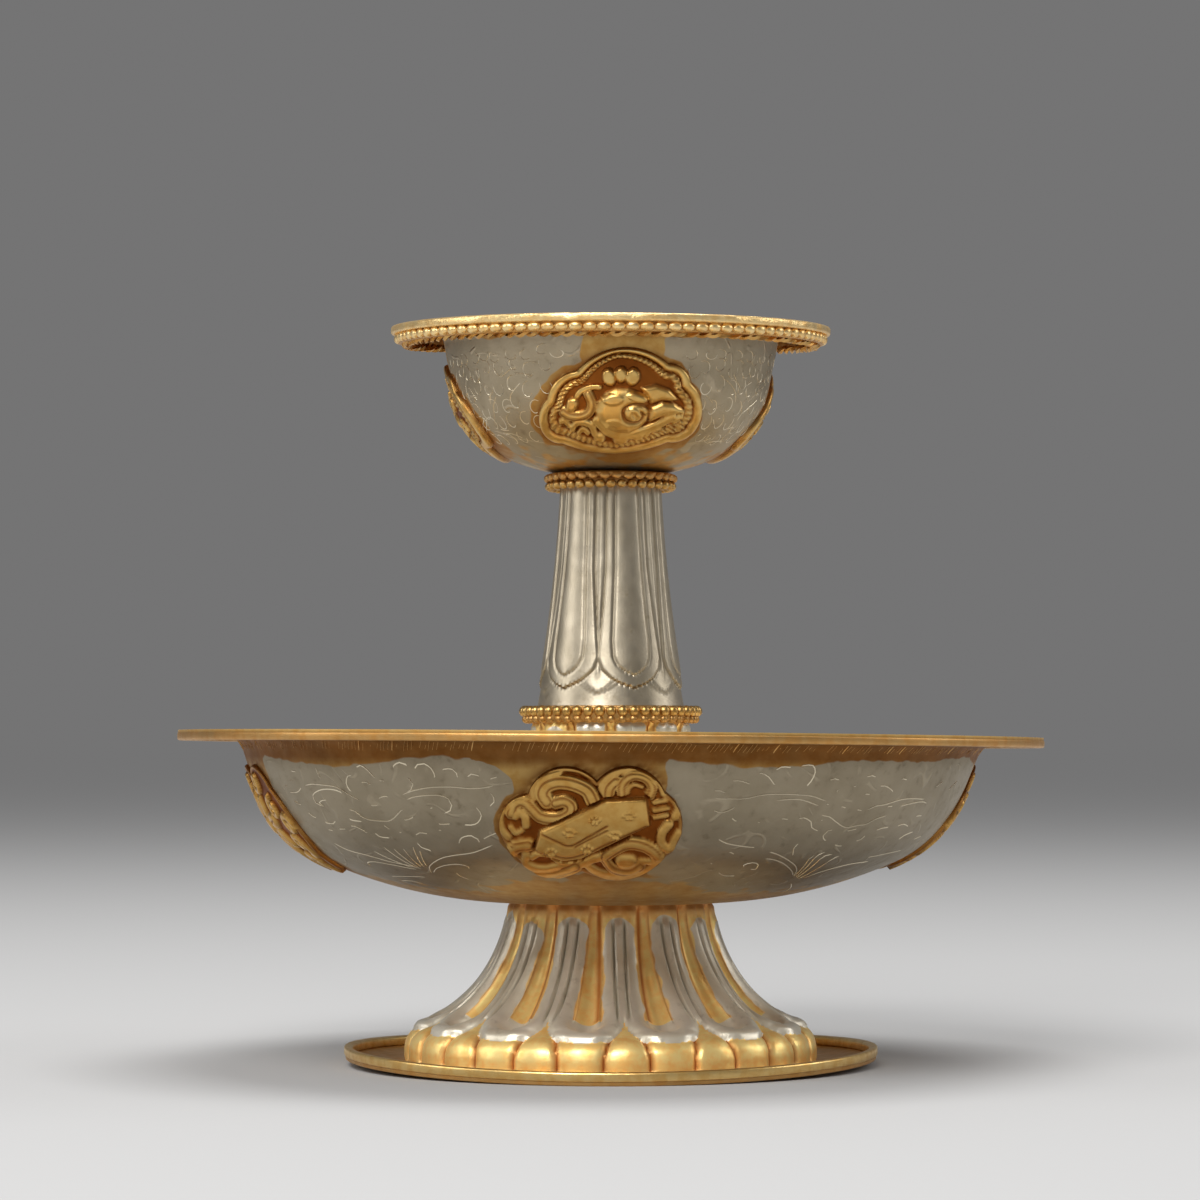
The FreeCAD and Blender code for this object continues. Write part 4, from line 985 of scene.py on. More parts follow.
def raise_shapes(x, y, shapes, ground):
    """Height in mm of chased shapes, and a mask of the lines cut into them.

    The shapes are round lines, mounds over outlines, cut lines, and outlines within which
    all is cleared to a level. The broader lines are bands with a fine cut along each side.
    Each is (kind, points, its width or its edge's, the height or the depth); the points are
    pairs, or x and y in turn.
    """
    height, cut = np.full(x.shape, ground), np.zeros(x.shape)
    for kind, points, width, top in shapes:
        points = np.reshape(points, (-1, 2))
        if kind == "clear":
            cleared = segment_distance(x, y, points, True) < width
            height, cut = np.where(cleared, top, height), np.where(cleared, 0, cut)
            continue
        if kind == "mound":
            inside = -segment_distance(x, y, points, True)
            share = np.clip((inside + 0.18) / width, 0, 1)
            raised = ground + (top - ground) * np.sin(pi / 2 * share) ** 0.8
            cut = np.where(raised > height, 0, cut)
            height = np.maximum(height, raised)
            continue
        away = segment_distance(x, y, smooth_stroke(points, 0.3)) / width
        if kind == "line":
            fine = soft_line((away - 0.5) * width, 0.13) * (width > 0.65)
            raised = ground + (top - ground) * np.clip(1.02 - away**3, 0, 1) ** 0.5
            cut = np.where(raised > height, fine, cut)
            height = np.maximum(height, raised - 0.14 * fine)
        else:
            fall = np.exp(-(away**2) * 2)
            cut = np.maximum(cut, fall)
            height = np.maximum(height - top * fall, 0.12)
    return height, cut


def wall_at_height(walk):
    """Radius of a wall at a height above the table, in millimetres, and the way outward."""
    places, normal, _ = walk
    rising = places[:, 1] > places[0, 1] + 1e-5
    heights = places[rising, 1] / MM

    def at(height):
        radius = np.interp(height, heights, places[rising, 0] / MM)
        out = np.stack([np.interp(height, heights, normal[rising, k]) for k in (0, 1)], -1)
        return radius, out

    return at


BACK_RINGS, FACE_RINGS = 9, 66
GROUND, BACK = 0.28, -0.12
MILLING_PITCH = 0.85


def medallion(name, outline, shapes, turn, middle, walk, border):
    """A plaque on a wall: rings of vertices over its back, then its face.

    Its back follows the wall a little below the surface. border is (width, height, milled
    width): a raised rim along the outline and, within it, a finer milled one.
    """
    count = len(outline)
    face = np.linspace(1, 0, FACE_RINGS) ** 0.85
    fraction = np.concatenate([np.linspace(0, 1, BACK_RINGS), [1], face])
    piece, column, row = new_grid(count, len(fraction) - 1)
    column = column % count
    shrink = np.where(row <= BACK_RINGS, fraction[row], fraction[row] * 0.988)
    x, y = outline[column, 0] * shrink, outline[column, 1] * shrink
    rim_width, rim_height, milled = border
    inside = -segment_distance(x, y, outline, True)
    height, cut = raise_shapes(x, y, shapes, GROUND)
    if milled:
        steps = np.hypot(*np.diff(np.concatenate([outline, outline[:1]]), axis=0).T)
        around = np.concatenate([[0], np.cumsum(steps)])[column]
        slim = (0.55 + 0.45 * np.clip(np.abs(x) / 9, 0, 1)) * np.where(y < -4, 0.85, 1)
        rim_width = rim_width * slim
        milled = milled * slim
        fine = np.clip(1 - ((inside - rim_width - milled * 0.55) / (milled / 2)) ** 2, 0, 1)
        notch = 0.72 + 0.28 * np.cos(2 * pi * (around + 0.5 * inside) / MILLING_PITCH)
        band_top = GROUND + (rim_height - GROUND) * np.sqrt(fine) * notch
        milling = inside < rim_width + milled * 1.05
        height, cut = np.where(milling, band_top, height), np.where(milling, 0, cut)
    cut = np.where(inside < rim_width, 0, cut)
    rim = np.clip(1 - ((inside - rim_width / 2) / (rim_width / 2)) ** 2, 0, 1)
    height = np.maximum(height, GROUND + (rim_height - GROUND) * np.sqrt(rim))
    height = np.where(row == BACK_RINGS, rim_height * 0.45, height)
    height = np.where(row < BACK_RINGS, BACK, height)
    radius, out = wall_at_height(walk)(middle + y)
    swing = np.arcsin(np.clip(x / radius, -1, 1))
    radius = (radius + out[:, 0] * height) * MM
    placed = about_axis(radius, radians(turn) + swing, (middle + y + out[:, 1] * height) * MM)
    # Low ground and cut lines turn red-brown: unburnished gilding, deepened as painted shade in
    # the recesses.
    low = np.maximum(1 - smooth_step(GROUND + 0.04, GROUND + 0.42, height), 0.8 * cut)
    mask_vertices(piece.data, {"reds": np.where(row <= BACK_RINGS, 0.6, low)})
    place_vertices(piece.data, placed)
    return finish_mesh(name, smooth=60)


def set_medallions(
    vessel, body, material, turns, outline, chased, flowered, middle, walk, border
):
    """Four plaques round a vessel: front and back alike, and the pair at the sides."""
    for place, turn in turns.items():
        shapes = chased if place in ("front", "back") else flowered
        name = f"{vessel}_medallion_{place}"
        plaque = medallion(f"{name}_relief", outline, shapes, turn, middle, walk, border)
        dress(plaque, body, material, "gilt", name)


def curls_each_side(places, radius, sweep, width, top):
    """Lines of spirals at places (x, y, first angle), repeated reversed on the other side."""
    return [
        ("line", [(side * px, py) for px, py in scroll(x, y, radius, 0.3, first, first + sweep)],
         width, top)
        for side in (-1, 1) for x, y, first in places
    ]


# A darker copy of the cup's chased gilt: painted shade on the bowl's plaques, which the light from
# above reaches less.
shade_darkened_gilt = metal("shade_darkened_gilt", orange="reds", bump=0.00006, tint=(0.64, 0.55, 0.40))

TABLET = [
    (-6.4, -0.2), (2.2, 3.8), (7.1, 4), (7.5, 0.7), (1.9, -1.9), (-1.4, -3.4), (-3.6, -3.7),
    (-5.4, -3.2), (-7.2, -2.3),
]
tablet_shapes = [
    ("line", (-7.1, 3.9, -7.2, 5.2, -6.7, 6.4, -5.6, 7.4, -3.8, 7.7, -1.3, 7.5, 0.4, 6.6),
     0.43, 0.6),
    ("line", (-6.5, 3.9, -6.6, 5, -6.1, 6.1, -5.1, 6.8, -3.7, 7.2), 0.4, 0.75),
    ("line", (0.4, 3.7, -0.2, 4.9, -1.4, 5.6, -2.8, 6, -4.2, 6, -5.4, 5.5, -5.9, 4.5, -5.4, 3.6),
     1.08, 0.95),
    ("line", (-4.3, 3.4, -3.2, 3.6, -2.4, 3.1, -2.5, 2.2, -3.7, 1.5, -5.1, 1.4, -6.4, 1.7,
     -7.2, 2.5, -8.1, 3.4, -8.8, 3.6, -9.6, 3.2, -10, 2.1), 0.88, 0.9),
    ("line", (-8.2, 0.6, -8.3, 1.6, -8.9, 2.2, -9.5, 1.7), 0.6, 0.8),
    ("line", (-11.1, 2.4, -11.5, 1.4, -11.3, -0.1, -10.6, -1), 0.5, 0.65),
    ("line", (-10.2, 0.3, -9.6, -0.5, -8.8, -0.1), 0.43, 0.65),
    ("line", (1.9, 4.5, 1.5, 5.3, 2, 6.2, 3, 7, 4.7, 7.5, 6.5, 7.6, 7.9, 7, 8.9, 5.9, 9.3, 4.5),
     0.48, 0.65),
    ("line", (2.4, 4.4, 2.6, 5.3, 3.4, 6.1), 0.88, 0.8),
    ("line", (4.1, 4.5, 4.1, 5.6, 4.8, 6.5, 5.9, 6.9, 7.3, 6.4, 7.9, 5.3, 7.6, 4.4), 0.71, 0.95),
    ("line", (4.8, 4.6, 5, 5.3, 5.7, 5.7, 6.6, 5.4), 0.37, 0.6),
    ("line", (10.1, 4.8, 11, 3.8, 11.2, 2.6, 10.7, 1.6), 0.57, 0.7),
    ("line", (8.1, 3.4, 9.6, 3.7), 0.37, 0.62),
    ("line", (8.1, 2.4, 9.8, 2.7), 0.37, 0.62),
    ("line", (8, 1.5, 9.7, 1.8), 0.37, 0.62),
    ("line", (9.9, 0.7, 9, -0.4, 8.9, -1.7, 9.6, -2.4), 0.64, 0.85),
    ("line", (11.1, -0.4, 10.4, -1.5, 10.2, -2.4), 0.5, 0.7),
    ("line", (1.7, -3.2, 2.9, -2.4, 4.6, -1.7, 6.4, -1.9, 7.7, -2.6, 8.4, -3.4), 0.88, 0.95),
    ("line", (1.5, -3.5, 2.3, -4.8, 3.5, -5.3, 4.9, -5.3, 6.1, -4.6), 0.68, 0.88),
    ("mound", (5.7, -4, 5.5, -4.4, 5.1, -4.7, 4.5, -4.9, 3.9, -4.9, 3.4, -4.7, 3, -4.4, 2.9, -4,
     3.1, -3.6, 3.5, -3.3, 4.1, -3.2, 4.7, -3.2, 5.2, -3.3, 5.6, -3.6), 0.6, 0.85),
    ("line", (-1.2, -3.8, -0.1, -5.1, 1.6, -5.9, 3.7, -6.2, 5.8, -5.9, 7.4, -5.1, 8.3, -4.1),
     0.6, 0.72),
    ("line", (6.1, -4, 7.2, -4.1, 8, -4), 0.43, 0.7),
    ("line", (-1.2, -4.3, -0.1, -3.8, 0.9, -3.5), 0.57, 0.78),
    ("line", (-8, -1.9, -9.5, -2.1, -10.6, -2.9, -10.6, -4.1, -9.5, -5.1, -7.5, -5.7, -5.3, -5.6,
     -3.4, -5.1, -2.2, -4.6), 0.88, 0.9),
    ("line", (-8.5, -3.2, -8.7, -4.2, -7.7, -4.9, -6, -5.1, -4.5, -4.7), 0.57, 0.8),
    ("line", (-7.7, -3.5, -6.8, -3, -5.4, -3.2, -4.4, -3.9, -3, -4.4), 0.48, 0.72),
    ("clear", TABLET, 0.42, 0.24),
    ("mound", TABLET, 0.5, 1.15),
    ("cut", (-6.1, -0.3, -4.2, -1.2, -2.6, -1.7, -0.3, -0.6, 2.1, 0.7), 0.22, 0.16),
    ("cut", (-2, -1.8, -0.2, -0.9, 2.1, 0.2), 0.18, 0.12),
    ("cut", (-5.3, -2.7, -3.2, -3.2, -0.6, -2.6, 1.9, -1.5, 7, 0.7), 0.22, 0.14),
]
flowers = ((-2.6, 0.0), (0.6, 1.5), (4.9, 2.1), (-5.1, -2.4), (-0.5, -2.0), (3.1, -0.3))
tablet_shapes += [
    ("mound", oval(x + dx, y + dy, 0.26, 0.24, 0, 10), 0.3, 1.34)
    for x, y in flowers
    for dx, dy in (
        (0.62, 0.05), (-0.62, -0.05), (0.24, 0.34), (-0.28, 0.32), (0.26, -0.36), (-0.24, -0.38),
    )
]
flower_shapes = []
for petal in range(8):
    lean = radians(45 * petal + 10)
    middle = (3.0 * cos(lean), 2.9 * sin(lean))
    flower_shapes.append(("mound", oval(*middle, 1.9, 1.1, 45 * petal + 10), 0.8, 0.95))
    flower_shapes.append(
        ("cut", [(1.6 * cos(lean), 1.6 * sin(lean)), (4.2 * cos(lean), 4.1 * sin(lean))], 0.2, 0.2)
    )
flower_shapes.append(("mound", oval(0, 0, 1.5, 1.4), 0.9, 1.15))
flower_shapes += curls_each_side(
    ((7.4, 2.2, 90), (7.4, -2.4, 270), (9.9, 0.0, 0), (3.6, 5.7, 200), (3.9, -5.2, 20)),
    radius=1.5, sweep=400, width=0.5, top=0.85,
)

set_medallions(
    "bowl", STAND, shade_darkened_gilt, BOWL_MEDALLIONS, BOWL_OUTLINE, tablet_shapes, flower_shapes,
    BOWL_MIDDLE, bowl_walk, border=(0.6, 0.5, 0),
)

# ---------------------------------------------------------------- goblet foot plate
# The goblet is a separate piece that stands loose in the bowl. Its plate is a smaller disc
# edged, like the one below, with a square wire.

disc_low, disc_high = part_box("goblet_foot_plate")
hoop_low, hoop_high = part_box("goblet_foot_edge_wire")
DISC_RADIUS = 0.0190
goblet_disc = turned(
    "goblet_foot_disc",
    [(0, disc_low.z), (DISC_RADIUS - 0.0001, disc_low.z), (DISC_RADIUS, disc_low.z + 0.0001),
     (DISC_RADIUS, disc_high.z), (0, disc_high.z)],
    steps=128,
)
dress(goblet_disc, GOBLET, orange_gilt, "gilt", "goblet_foot_plate")
goblet_hoop = turned_wire(
    "goblet_foot_square_wire", inner=0.0182, outer=0.0191, low=hoop_low.z, high=hoop_high.z,
    round_off=0.0002, steps=128,
)
dress(goblet_hoop, GOBLET, bright_gilt, "gilt", "goblet_foot_edge_wire")

# ---------------------------------------------------------------- goblet foot
# A tall fluted cone of twelve petals, the small brother of the lotus foot, raised from
# sheet. Its lower part stands inside the bowl; its top shows above the bowl's rim.

CONE_TOP, CONE_LIP, CONE_SKIRT = 0.0109, 0.0156, 0.0172
cone_low, cone_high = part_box("goblet_foot")
cone_lip = cone_low.z + 0.0032
cone_side = hollow_arc((CONE_TOP, cone_high.z), (CONE_LIP, cone_lip), 0.040, 1)
cone_outline = [
    (CONE_SKIRT, cone_low.z), (CONE_SKIRT, cone_low.z + 0.0014),
    (CONE_SKIRT - 0.0003, cone_low.z + 0.0026), *cone_side[::-1],
]
cone_inside = [
    (0.0099, cone_high.z), (0.0112, 0.0390), (0.0134, 0.0315), (0.0146, cone_lip),
    (0.0158, cone_low.z + 0.0015), (0.0160, cone_low.z),
]
goblet_cone = fluted_foot(
    "goblet_foot_petals", 12, FRONT, cone_outline, cone_inside, spacing=0.00028,
    columns=30, trough=(0.6, 1.3), spots=(16.6, 17.4, 19.0, 20.6, 23.2), band=-0.2,
)
dress(goblet_cone, GOBLET, parcel_gilt, "silver", "goblet_foot")

# ---------------------------------------------------------------- stem ring and beading
# A plain gilt ring joins foot and stem. Round it run two rows of beads pressed from one
# strip, a bright one above and a smaller one below.


def bead_ring(name, count, ring_radius, height, bead, seed, shape=(1, 1, 1)):
    """A row of beads round the axis, each a little different, as one piece.

    shape scales a bead outward from the axis, round it and upward.
    """
    wander = np.random.default_rng(seed)
    nothing_selected()
    beads = []
    for step in range(count):
        angle = 2 * pi * step / count
        size = bead * wander.uniform(0.95, 1.04)
        bpy.ops.mesh.primitive_uv_sphere_add(
            segments=12, ring_count=8, radius=size,
            location=(ring_radius * cos(angle), ring_radius * sin(angle), height),
            rotation=(0, 0, angle), scale=shape,
        )
        beads.append(bpy.context.object)
    for one in beads:
        one.select_set(True)
    bpy.context.view_layer.objects.active = beads[0]
    bpy.ops.object.join()
    bpy.ops.object.transform_apply(location=True, rotation=True, scale=True)
    return finish_mesh(name, merge=1e-7, smooth=80)


ring_low, ring_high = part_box("stem_ring")
ring_beads_low, ring_beads_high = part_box("stem_ring_beading")
stem_ring = turned_wire(
    "stem_ring_band", inner=0.0082, outer=0.0113, low=ring_low.z, high=ring_high.z,
    round_off=0.0002, steps=128,
)
dress(stem_ring, GOBLET, orange_gilt, "gilt", "stem_ring")
bead_gilt = metal("bead_gilt", tint=(0.66, 0.61, 0.56))
upper_row = bead_ring(
    "stem_ring_upper_beads", 48, ring_radius=0.0120, height=0.04895, bead=0.00078, seed=1
)
dress(upper_row, GOBLET, bead_gilt, "gilt", "stem_ring_beading")
lower_row = bead_ring(
    "stem_ring_lower_beads", 48, ring_radius=0.0118, height=0.04785, bead=0.00060, seed=2
)
dress(lower_row, GOBLET, orange_gilt, "gilt", "stem_ring_beading")
row_parting = turned_wire(
    "stem_ring_bead_strip", inner=0.0112, outer=0.01205, low=ring_beads_low.z,
    high=ring_beads_high.z, steps=128,
)
dress(row_parting, GOBLET, orange_gilt, "gilt", "stem_ring_beading")

# ---------------------------------------------------------------- stem
# A tapering silver tube chased with six long leaves, their tips at the foot, and six
# more behind them that show in the gaps. Each leaf has a raised border along its edge.

STEM_FOOT, STEM_TOP = 0.0102, 0.0066


def leaf_relief(turn, length):
    """Work of the stem over angle and the distance up from its foot, in millimetres."""
    # half widths, as shares of half a sector, of a leaf, of the panel in it and of one behind
    sector = pi / 3
    edge = (
        [0, 2.4, 3.0, 3.8, 5.0, 6.6, 9, 19, length],
        [-0.8, 0, 0.34, 0.62, 0.86, 0.97, 0.92, 0.76, 0.74],
    )
    panel = ([0, 4.1, 4.6, 5.4, 6.6, 9, 19, length], [-1.2, 0, 0.24, 0.42, 0.53, 0.56, 0.47, 0.44])
    behind = ([0, 1.6, 2.2, 3.0, 4.2, length], [-0.6, 0, 0.30, 0.52, 0.66, 0.70])

    def relief(angle, far):
        half = sector / 2
        lean = 1 + 0.05 * np.sin(3.0 * angle)
        off = np.abs((angle - turn + half) % sector - half) / half
        off_behind = np.abs((angle - turn) % sector - half) / half
        at_edge = np.interp(far, *edge) * lean
        at_panel = np.interp(far, *panel) * lean
        at_behind = np.interp(far, *behind)
        radius = (STEM_FOOT + (STEM_TOP - STEM_FOOT) * far / length) / MM
        out = (at_edge - off) * half * radius
        into = (at_panel - off) * half * radius
        back = (at_behind - off_behind) * half * radius
        height = 0.12 * smooth_step(-0.1, 0.4, back)
        height = height - 0.08 * soft_line(back - 0.6, 0.24) * (back > 0)
        middle = off_behind * half * radius
        height = height + 0.08 * soft_line(middle, 0.3) * smooth_step(3, 5, far)
        height = height + (0.32 - height) * smooth_step(-0.15, 0.4, out)
        height = height - 0.13 * soft_line(out + 0.1, 0.22)
        height = height - 0.16 * soft_line(into, 0.24) * smooth_step(0, 0.3, out)
        crown = np.clip(off / np.maximum(at_panel, 0.05), 0, 1)
        height = height + np.where(into > 0, 0.16 * (1 - crown**2), 0)
        ends = smooth_step(0, 0.6, far) * (1 - smooth_step(length - 0.7, length - 0.1, far))
        dark = 0.7 * soft_line(into, 0.18) * (out > 0) + soft_line(out + 0.08, 0.20)
        dark = dark + 0.5 * soft_line(back - 0.6, 0.18) * (back > 0) * (out < 0)
        return height * ends, {"hollows": np.clip(dark * 0.55, 0, 1)}

    return relief


stem_low, stem_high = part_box("stem")
stem_arc = hollow_arc((STEM_FOOT, stem_low.z), (STEM_TOP, stem_high.z), 0.230, -1)
stem_walk = follow(stem_arc, 0.00026, 0)
stem_length = stem_walk[2][-1] / MM
stem = round_shell(
    "leafy_stem", 540, stem_walk,
    [(STEM_TOP - 0.0008, stem_high.z), (STEM_FOOT - 0.0009, stem_low.z)],
    leaf_relief(radians(289), stem_length),
)
stem_silver = metal(
    "stem_silver", gilt=0.0, hollow="hollows", tint=(0.83, 0.78, 0.70), matt=0.05
)
dress(stem, GOBLET, stem_silver, "silver", "stem")

# ---------------------------------------------------------------- stem collar
# A thin gilt disc between stem and cup. Its edge is worked into a row of flat beads, and a
# strip of rounder ones is soldered below it.

COLLAR_RADIUS, COLLAR_BEVEL = 0.0090, 0.0002
collar_low, collar_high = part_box("stem_collar")
collar = turned(
    "stem_collar_disc",
    [(0, collar_low.z), (COLLAR_RADIUS - COLLAR_BEVEL, collar_low.z),
     (COLLAR_RADIUS, collar_low.z + COLLAR_BEVEL), (COLLAR_RADIUS, collar_high.z - COLLAR_BEVEL),
     (COLLAR_RADIUS - COLLAR_BEVEL, collar_high.z), (0, collar_high.z)],
    steps=128,
)
dress(collar, GOBLET, orange_gilt, "gilt", "stem_collar")
collar_upper = bead_ring(
    "stem_collar_upper_beads", 34, ring_radius=0.00885, height=0.08140, bead=0.00070, seed=7,
    shape=(0.7, 1.1, 0.8),
)
dress(collar_upper, GOBLET, orange_gilt, "gilt", "stem_collar")
collar_beads = bead_ring(
    "stem_collar_beads", 36, ring_radius=0.00850, height=0.08028, bead=0.00070, seed=3,
    shape=(1, 1.05, 0.9),
)
dress(collar_beads, GOBLET, bead_gilt, "gilt", "stem_collar_beading")
collar_strip = turned_wire(
    "stem_collar_bead_strip", inner=0.0072, outer=0.00835, low=0.0800, high=0.0812,
    round_off=0.0002, steps=128,
)
dress(collar_strip, GOBLET, orange_gilt, "gilt", "stem_collar_beading")

# ---------------------------------------------------------------- cup
# A small deep bowl raised from silver sheet, its rim turned out flat. Gilding covers the
# rim, runs down as a neck to each medallion, and is thin and patchy under the bottom.

CUP_OUTLINE = lobed([
    (9.9, 1.5, 0.8), (6.9, 4.0, 2.5), (-5.3, 3.0, 0.9),
    (-9.2, -0.6, 2.1), (-7.0, -6.1, 1.3), (7.0, -5.9, 3.1),
])
CUP_MEDALLIONS = {"front": 272, "left": 170, "right": 18, "back": 94}
CUP_MIDDLE = 91.65
cup_wall = wall_outline(
    seat=82.0, depth=20.1, floor=4, sweep=25, bend=12, angle=80, lip=1.6, flange=5.6, rim=30.5
)
cup_walk = follow(cup_wall, spacing=0.00035, soften=1)
cup_work = wash_relief(
    cup_walk, CUP_MEDALLIONS.values(), CUP_MIDDLE, CUP_OUTLINE, wash=0.8,
    neck=(5.6, 0.8, 0.0), rise=3.0, band=35.1, bottom=14.0, warmth=0.0, most=0.02,
)
cup_inside = vessel_inside(cup_walk, sheet=0.0008, floor=0.0080, floor_height=0.0830, step=3)
cup = round_shell(
    "raised_cup", 420, cup_walk, [(0.0305, 0.1029)] + cup_inside, cup_work, gilt_beyond=0.0249
)


def cup_sway(angle, radius, height):
    """The rim is bent down a little at the front and up at the back, in millimetres."""
    back = np.sin(angle - radians(4))
    lean = 1.32 * back + 0.65 * back**2 + 0.38 * back**3 - 0.45
    return lean * MM * smooth_step(0.0950, 0.1002, height)


sway(cup, cup_sway)
cup_metal = metal(
    "cup_parcel_gilt", gilt="gilding", orange="reds",
    tint=(0.68, 0.61, 0.50), matt=0.10, chasing=0.7, plain=(0.92, 0.87, 0.77),
)
dress(cup, GOBLET, cup_metal, "silver", "cup")

# ---------------------------------------------------------------- chasing on the cup
# Long scrolls over rows of small curls, in the panels between the medallions, cut with the
# same tool as the bowl's, and a strip of slanting strokes under the turned-out rim.

CUP_LEFT = (
    (-6.2, 31.6, -3.9, 32.1, 0.2, 32.2, 4.2, 32.1, 7.1, 31.8, 8.9, 31.5),
    (9.2, 31.5, 10, 30.8, 10.1, 29.9, 10.8, 29.1),
    (2.6, 30.3, 3.7, 29.2, 6.3, 28, 10.8, 28.8, 13.7, 29.2, 10.1, 29.9),
    (16.8, 29.5, 19.5, 29.9, 23.2, 29.7), (12.4, 28.4, 16.4, 28.2, 21.2, 27.8),
    (-14.7, 27.4, -12, 26.4, -9, 25), (-11.6, 28.7, -8.8, 27.8), (-3.9, 27.5, -0.3, 26.5),
    (0.4, 26.2, -1.4, 24.9, -2, 24.1), (3.4, 25.7, 0.1, 24.3, -2.9, 22.3, -6.1, 20.6),
    (-9.2, 22.6, -14.3, 21.4, -19.2, 20.2), (-7.3, 22.7, -11.4, 21.3, -18.1, 19.6),
    (4, 23.9, 6.3, 23.7), (8.8, 23.7, 11.1, 23.4, 13, 23.4), (9.4, 25.3, 13, 26.4, 15.4, 27.1),
    (-4.1, 20.7, -2.1, 20.2, 2.3, 20.1), (-4.9, 19.8, 0.9, 19.5, 4.5, 18.9, 6.7, 18.2),
    (-16.5, 23, -13.6, 22.5), (-18.2, 22.5, -17.5, 21.5),
)
CUP_RIGHT = (
    (-9.1, 32.5, -11.3, 32, -11.9, 31.2, -11, 30.5, -10.1, 30.3),
    (-7, 30.7, -4.5, 30.9, -2.4, 30.6, -2, 29.9), (-6.8, 28.6, -4, 27.6, -0.6, 26.4),
    (-12.5, 27.8, -8.7, 27.4, -5.1, 26.5, -3, 25.5, -1.9, 24.2), (-1.9, 28.1, 2.2, 28.4, 3.9, 29),
    (0, 26.3, 2, 27.1, 6.6, 27.9), (8.1, 26.5, 13.5, 27.7, 19.8, 28.9),
    (5.1, 24.7, 9.7, 25.9, 17.4, 27.6), (4.3, 21.5, 5, 23.1, 8, 24, 14.8, 25.8),
    (-12.3, 22.2, -13, 23.3, -10.7, 23.9, -7.7, 24.3), (-11.3, 22.1, -8.5, 20.9),
    (-9.1, 21.9, -6.4, 22.3), (0.7, 20.3, 2.8, 20.8, 6.5, 20.9), (9.8, 20.1, 14.8, 20.6),
    (-11.3, 17.7, -6.7, 18.2, -4, 18.9), (-4.9, 17.2, -1.3, 18, 6.8, 18.4),
    (-19.2, 25.5, -16.6, 24.9, -13.5, 24.1),
)

cup_panels = (
    (CUP_LEFT, 221.0, 1), (CUP_RIGHT, 325.0, 1), (CUP_LEFT, 132.0, -1), (CUP_RIGHT, 56.0, -1),
)
cup_strokes = panel_strokes(cup_panels)
CURL_ROWS = (18.6, 21.2, 23.8, 26.4, 29.0, 31.6)
CURL_PITCH = 6.4
curl_wander = np.random.default_rng(11)
for _, middle, _ in cup_panels:
    for row, low in enumerate(CURL_ROWS):
        reach = 13 + 3.2 * row
        for aside in np.arange(-reach, reach + 1, CURL_PITCH):
            angle = middle + aside + CURL_PITCH / 2 * (row % 2) + curl_wander.uniform(-1.2, 1.2)
            far = low + curl_wander.uniform(-0.6, 0.6)
            first = 90 + curl_wander.uniform(-70, 70)
            turning = 1 if aside > 0 else -1
            curl = scroll(0, 0, 1.5, 0.5, first, first + turning * 290, 12)
            cup_strokes.append([(radians(angle) + x / 26, far + y) for x, y in curl])
cup_place = wall_place(cup_walk)
cup_scrolls = chased_lines(
    "cup_chased_scrolls", cup_strokes, cup_place, mm_per_radian=22, thick=0.085, sunk=0.045,
    spacing=0.35,
)
sway(cup_scrolls, cup_sway)
dress(cup_scrolls, GOBLET, bright_silver, "silver")
CUP_HATCHES, CUP_HATCH_SLANT = 260, 0.022
cup_hatch = [
    [(angle, 36.3), (angle + CUP_HATCH_SLANT, 37.6)]
    for angle in (2 * pi * step / CUP_HATCHES for step in range(CUP_HATCHES))
]
cup_hatching = chased_lines(
    "cup_rim_hatching", cup_hatch, cup_place, mm_per_radian=25, thick=0.10, sunk=0.04,
    spacing=0.7,
)
sway(cup_hatching, cup_sway)
dress(cup_hatching, GOBLET, orange_gilt, "gilt")

# ---------------------------------------------------------------- cup rim
# Under the turned-out rim a row of fine beads and a twisted wire are soldered, and the
# rim's edge itself is a smooth rounded gilt band.

cup_band = turned_wire("cup_rim_band", inner=0.0292, outer=0.0307, low=0.1019, high=0.1030)
stippled_gilt = metal("stippled_gilt", bump=0.0006, tint=(1.06, 1.10, 1.30), frost=0.15)
sway(cup_band, cup_sway)
dress(cup_band, GOBLET, stippled_gilt, "gilt")
cup_beads = bead_ring(
    "cup_rim_beads", 98, ring_radius=0.02975, height=0.10135, bead=0.00096, seed=5,
    shape=(0.58, 1.04, 0.70),
)
sway(cup_beads, cup_sway)
cup_bead_strip = turned_wire(
    "cup_rim_bead_strip", inner=0.0286, outer=0.0297, low=0.1006, high=0.1022, round_off=0.0002
)
sway(cup_bead_strip, cup_sway)
dress(cup_bead_strip, GOBLET, orange_gilt, "gilt", "cup_rim_beading")
# The beads are a paler gilt than the band and strip: a painted highlight for their flat faces,
# which catch the lamp.
pale_gilt = metal("pale_gilt", tint=(1.06, 1.12, 1.35), frost=0.1)
dress(cup_beads, GOBLET, pale_gilt, "gilt", "cup_rim_beading")


def twisted_wire(name, ring_radius, height, strand, turns, steps):
    """Two thin wires twisted together and bent round into a hoop."""
    nothing_selected()
    wires = []
    for start in (0, pi):
        spline = new_tube(strand).splines.new("POLY")
        spline.points.add(turns * steps - 1)
        for step, point in enumerate(spline.points):
            angle = 2 * pi * step / (turns * steps)
            lay = 2 * pi * step / steps + start
            radius = ring_radius + strand * cos(lay)
            point.co = (radius * cos(angle), radius * sin(angle), height + strand * sin(lay), 1)
        spline.use_cyclic_u = True
        wires.append(bpy.context.object)
    for one in wires:
        one.select_set(True)
    bpy.ops.object.convert(target="MESH")
    bpy.context.view_layer.objects.active = wires[0]
    bpy.ops.object.join()
    return finish_mesh(name, merge=1e-8, smooth=70)


